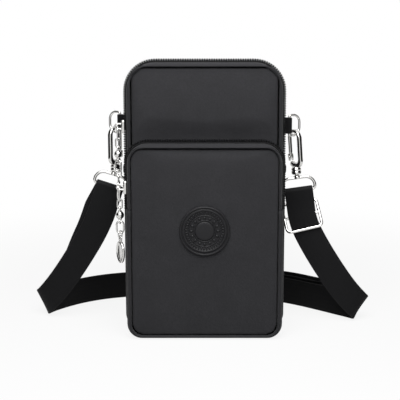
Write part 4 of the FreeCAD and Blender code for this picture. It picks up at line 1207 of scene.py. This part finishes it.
class POUCH_OT_adjuster(bpy.types.Operator):
    """Bend the strap's adjuster"""
    bl_idname = "pouch.adjuster"
    bl_label = "Adjuster"

    def execute(self, context):
        wire, frame_half, bar_half = 0.001, 0.0127, 0.0121
        spot, across = (Vector(v) for v in RIGHT_RUN[ADJUSTER_POINT])
        along = Vector(RIGHT_RUN[ADJUSTER_POINT + 1][0]) - Vector(RIGHT_RUN[ADJUSTER_POINT - 1][0])
        along.normalize()
        rear = along.cross(across).normalized()
        across = rear.cross(along).normalized()
        turn = Matrix((across, rear, along)).transposed().to_4x4()
        lean = math.asin(2 * ADJUSTER_REAR / ADJUSTER_REACH)
        place = Matrix.Translation(spot + rear * ADJUSTER_REAR) @ turn @ Matrix.Rotation(-lean, 4, "X")
        path = placed(Outline(frame_half, -ADJUSTER_REACH, ADJUSTER_REACH, 0.003, 0.003).whole(), place)
        metal("strap_adjuster", lambda bm: add_tube(bm, path, rounded_section(wire, wire, 2.4, 16), True),
              "adjuster", ["adjuster_frame"])
        bar = [place @ Vector((bar_half * (2 * i / 8 - 1), 0, 0)) for i in range(9)]
        metal("strap_adjuster_bar", lambda bm: add_tube(bm, bar, rounded_section(wire, wire)),
              "adjuster", ["adjuster_bar"], CREASE)
        return {"FINISHED"}


class POUCH_OT_strap(bpy.types.Operator):
    """Lay the webbing strap along its route and fold its loops"""
    bl_idname = "pouch.strap"
    bl_label = "Strap"

    def execute(self, context):
        sizes = context.scene.pouch_sizes
        left, left_piece = self.run("strap_left", "left", LEFT_RUN, ["strap_left_run"], sizes)
        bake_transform(left_piece)
        right, right_piece = self.run("strap_right", "right", RIGHT_RUN[::-1],
                                      ["strap_back_folds", "strap_right_run"], sizes)
        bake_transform(right_piece)
        line, tail = self.run("strap_tail", "left", LEFT_TAIL, ["strap_left_tail"], sizes)
        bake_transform(tail)
        line, end = self.run("strap_end", "right", FIXED_END, ["strap_fixed_end"], sizes)
        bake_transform(end)
        loops = {side: self.loop(side, sizes) for side in HOOKS}
        return {"FINISHED"}

    def run(self, name, side, route, nodes, sizes):
        """Webbing along a route, carried on into its folded loop just behind the loop's face."""
        points, widths = strap_along(route)
        lean = lean_of(side)
        place = lean.inverted() @ points[0]
        share = 1 + TUCK / place.z
        points.insert(0, lean @ Vector((share * place.x, 0.96 * place.y, share * place.z)))
        widths.insert(0, widths[0])
        mesh = ribbon_mesh(name, points, widths, sizes.strap_width, sizes.strap_wall)
        return points, new_piece(name, mesh, "webbing", None, nodes)

    def loop(self, side, sizes):
        """The strap folded round the eye's bar."""
        length = HOOKS[side][5]
        lean = lean_of(side)
        leg = (-length, -length / 2, -0.0008)
        line = [(-LOOP_REACH, z) for z in leg]
        line += [(-LOOP_REACH * math.cos(t), LOOP_REACH * math.sin(t))
                 for t in (math.pi * i / 14 for i in range(15))]
        line += [(LOOP_REACH, z) for z in leg[::-1]]
        # The rear leg slants towards the strap's own end below it.
        below = lean.inverted() @ Vector((LEFT_TAIL if side == "left" else FIXED_END)[0][0])
        slant = below.x / below.z
        points = [lean @ Vector((slant * z if y > 0 and z < 0 else 0, y, z)) for y, z in line]
        across = lean.to_3x3() @ Vector((1, 0, 0))
        mesh = ribbon_mesh(f"{side}_folded_loop", points, [across] * len(points), sizes.strap_width,
                           sizes.strap_wall)
        return new_piece(f"{side}_folded_loop", mesh, "webbing", f"{side}_eye", [f"{side}_strap_loop"])


def seen_directly(tree):
    """One for rays that show a thing itself: from the camera, in a gloss or through a clear piece."""
    path = add_node(tree, "ShaderNodeLightPath").outputs
    glossy = maths(tree, "MAXIMUM", path["Is Camera Ray"], path["Is Glossy Ray"])
    return maths(tree, "MAXIMUM", glossy, path["Is Transmission Ray"])


def stage_sheet(name, corners, material, unseen_by=()):
    """A flat sheet of the stage."""
    mesh = bpy.data.meshes.new(name)
    mesh.from_pydata(corners, [], [(0, 1, 2, 3)])
    mesh.materials.append(material)
    flat = linked(name, mesh)
    for ray in unseen_by:
        setattr(flat, f"visible_{ray}", False)


class POUCH_OT_stage(bpy.types.Operator):
    """Set the paper, the lights and the camera"""
    bl_idname = "pouch.stage"
    bl_label = "Stage"

    def execute(self, context):
        scene = context.scene
        scene.view_settings.view_transform = "Standard"
        self.paper(scene.pouch_colours)
        self.cards()
        self.world(scene)
        for name, place, size, power in (("overhead_softbox", (0.0, -0.30, 0.51), 0.45, 5.4),
                                         ("front_softbox", (-0.6, -1.1, 0.6), 0.8, 0.7)):
            self.lamp(name, place, size, power)
        camera = bpy.data.cameras.new("camera")
        camera.lens = 95.9
        camera.sensor_width = 36.0
        camera.shift_x = -0.01175
        scene.camera = linked("camera", camera)
        scene.camera.location = (0.0, -0.726, 0.235)
        scene.camera.rotation_euler = (math.radians(90 - 11.06), 0.0, 0.0)
        return {"FINISHED"}

    def paper(self, colours):
        """Matt paper, seen by the camera and in the metal as a bright sweep that still takes a shadow."""
        material, tree, output = new_material("white_paper")
        place = add_node(tree, "ShaderNodeTexCoord").outputs["Object"]
        far = add_node(tree, "ShaderNodeVectorMath", {0: place}, operation="LENGTH").outputs["Value"]
        white = add_node(tree, "ShaderNodeMapRange", {"Value": far, 1: 0.15, 2: 0.5, 3: 0.88, 4: 1.0},
                         interpolation_type="SMOOTHSTEP")
        share = maths(tree, "MULTIPLY", seen_directly(tree), white.outputs[0])
        matt = add_node(tree, "ShaderNodeBsdfDiffuse", {"Color": tone(colours.floor)})
        glow = add_node(tree, "ShaderNodeEmission", {"Color": (1, 1, 1, 1), "Strength": 1.0})
        mixed = add_node(tree, "ShaderNodeMixShader", {0: share, 1: matt.outputs[0], 2: glow.outputs[0]})
        tree.links.new(mixed.outputs[0], output.inputs[0])
        half = 40
        corners = [(-half, -half, 0), (half, -half, 0), (half, half, 0), (-half, half, 0)]
        stage_sheet("paper", corners, material)

    def cards(self):
        """Dark cards on both sides, seen only in the metal, which they give its dark edges."""
        material, tree, output = new_material("dark_card")
        card = add_node(tree, "ShaderNodeBsdfDiffuse", {"Color": (0.01, 0.01, 0.01, 1)})
        tree.links.new(card.outputs[0], output.inputs[0])
        front, rear, bottom, top = -0.45, 0.25, 0.01, 0.6
        for name, x in (("left_card", -0.45), ("right_card", 0.45)):
            corners = [(x, front, bottom), (x, rear, bottom), (x, rear, top), (x, front, top)]
            stage_sheet(name, corners, material, ("camera", "diffuse", "shadow"))

    def world(self, scene):
        """A white studio that lights the pouch only a little."""
        scene.world = bpy.data.worlds.new("studio")
        scene.world.use_nodes = True
        tree = scene.world.node_tree
        tree.nodes.clear()
        output = tree.nodes.new("ShaderNodeOutputWorld")
        strength = add_node(tree, "ShaderNodeMapRange", {"Value": seen_directly(tree), 3: 0.15, 4: 1.0})
        sky = add_node(tree, "ShaderNodeBackground", {"Color": (1, 1, 1, 1), "Strength": strength.outputs[0]})
        tree.links.new(sky.outputs[0], output.inputs[0])

    def lamp(self, name, place, size, power):
        """A square softbox that points at the pouch."""
        target = Vector((0.0, 0.0, 0.1))
        light = bpy.data.lights.new(name, "AREA")
        light.size = size
        light.energy = power
        lamp = linked(name, light)
        lamp.location = place
        lamp.rotation_euler = (target - Vector(place)).to_track_quat("-Z", "Y").to_euler()


class POUCH_PT_panel(bpy.types.Panel):
    """Lists the pouch's pieces"""
    bl_label = "Phone pouch"
    bl_idname = "POUCH_PT_panel"
    bl_space_type = "VIEW_3D"
    bl_region_type = "UI"
    bl_category = "Pouch"

    def draw(self, context):
        for piece in PIECES:
            self.layout.operator(piece.bl_idname)
        for group in (context.scene.pouch_sizes, context.scene.pouch_colours):
            box = self.layout.box()
            for name in group.__annotations__:
                box.prop(group, name)


PIECES = (POUCH_OT_stage, POUCH_OT_panels, POUCH_OT_strap, POUCH_OT_gussets, POUCH_OT_zips,
          POUCH_OT_badge, POUCH_OT_sliders, POUCH_OT_pulls, POUCH_OT_tabs, POUCH_OT_rings,
          POUCH_OT_hooks, POUCH_OT_adjuster)
CLASSES = (PouchSizes, PouchColours, *PIECES, POUCH_PT_panel)


def register():
    for item in CLASSES:
        bpy.utils.register_class(item)
    bpy.types.Scene.pouch_sizes = bpy.props.PointerProperty(type=PouchSizes)
    bpy.types.Scene.pouch_colours = bpy.props.PointerProperty(type=PouchColours)


def unregister():
    del bpy.types.Scene.pouch_sizes
    del bpy.types.Scene.pouch_colours
    for item in reversed(CLASSES):
        bpy.utils.unregister_class(item)


def main():
    register()
    for piece in PIECES:
        group, name = piece.bl_idname.split(".")
        getattr(getattr(bpy.ops, group), name)()


if __name__ == "__main__":
    main()
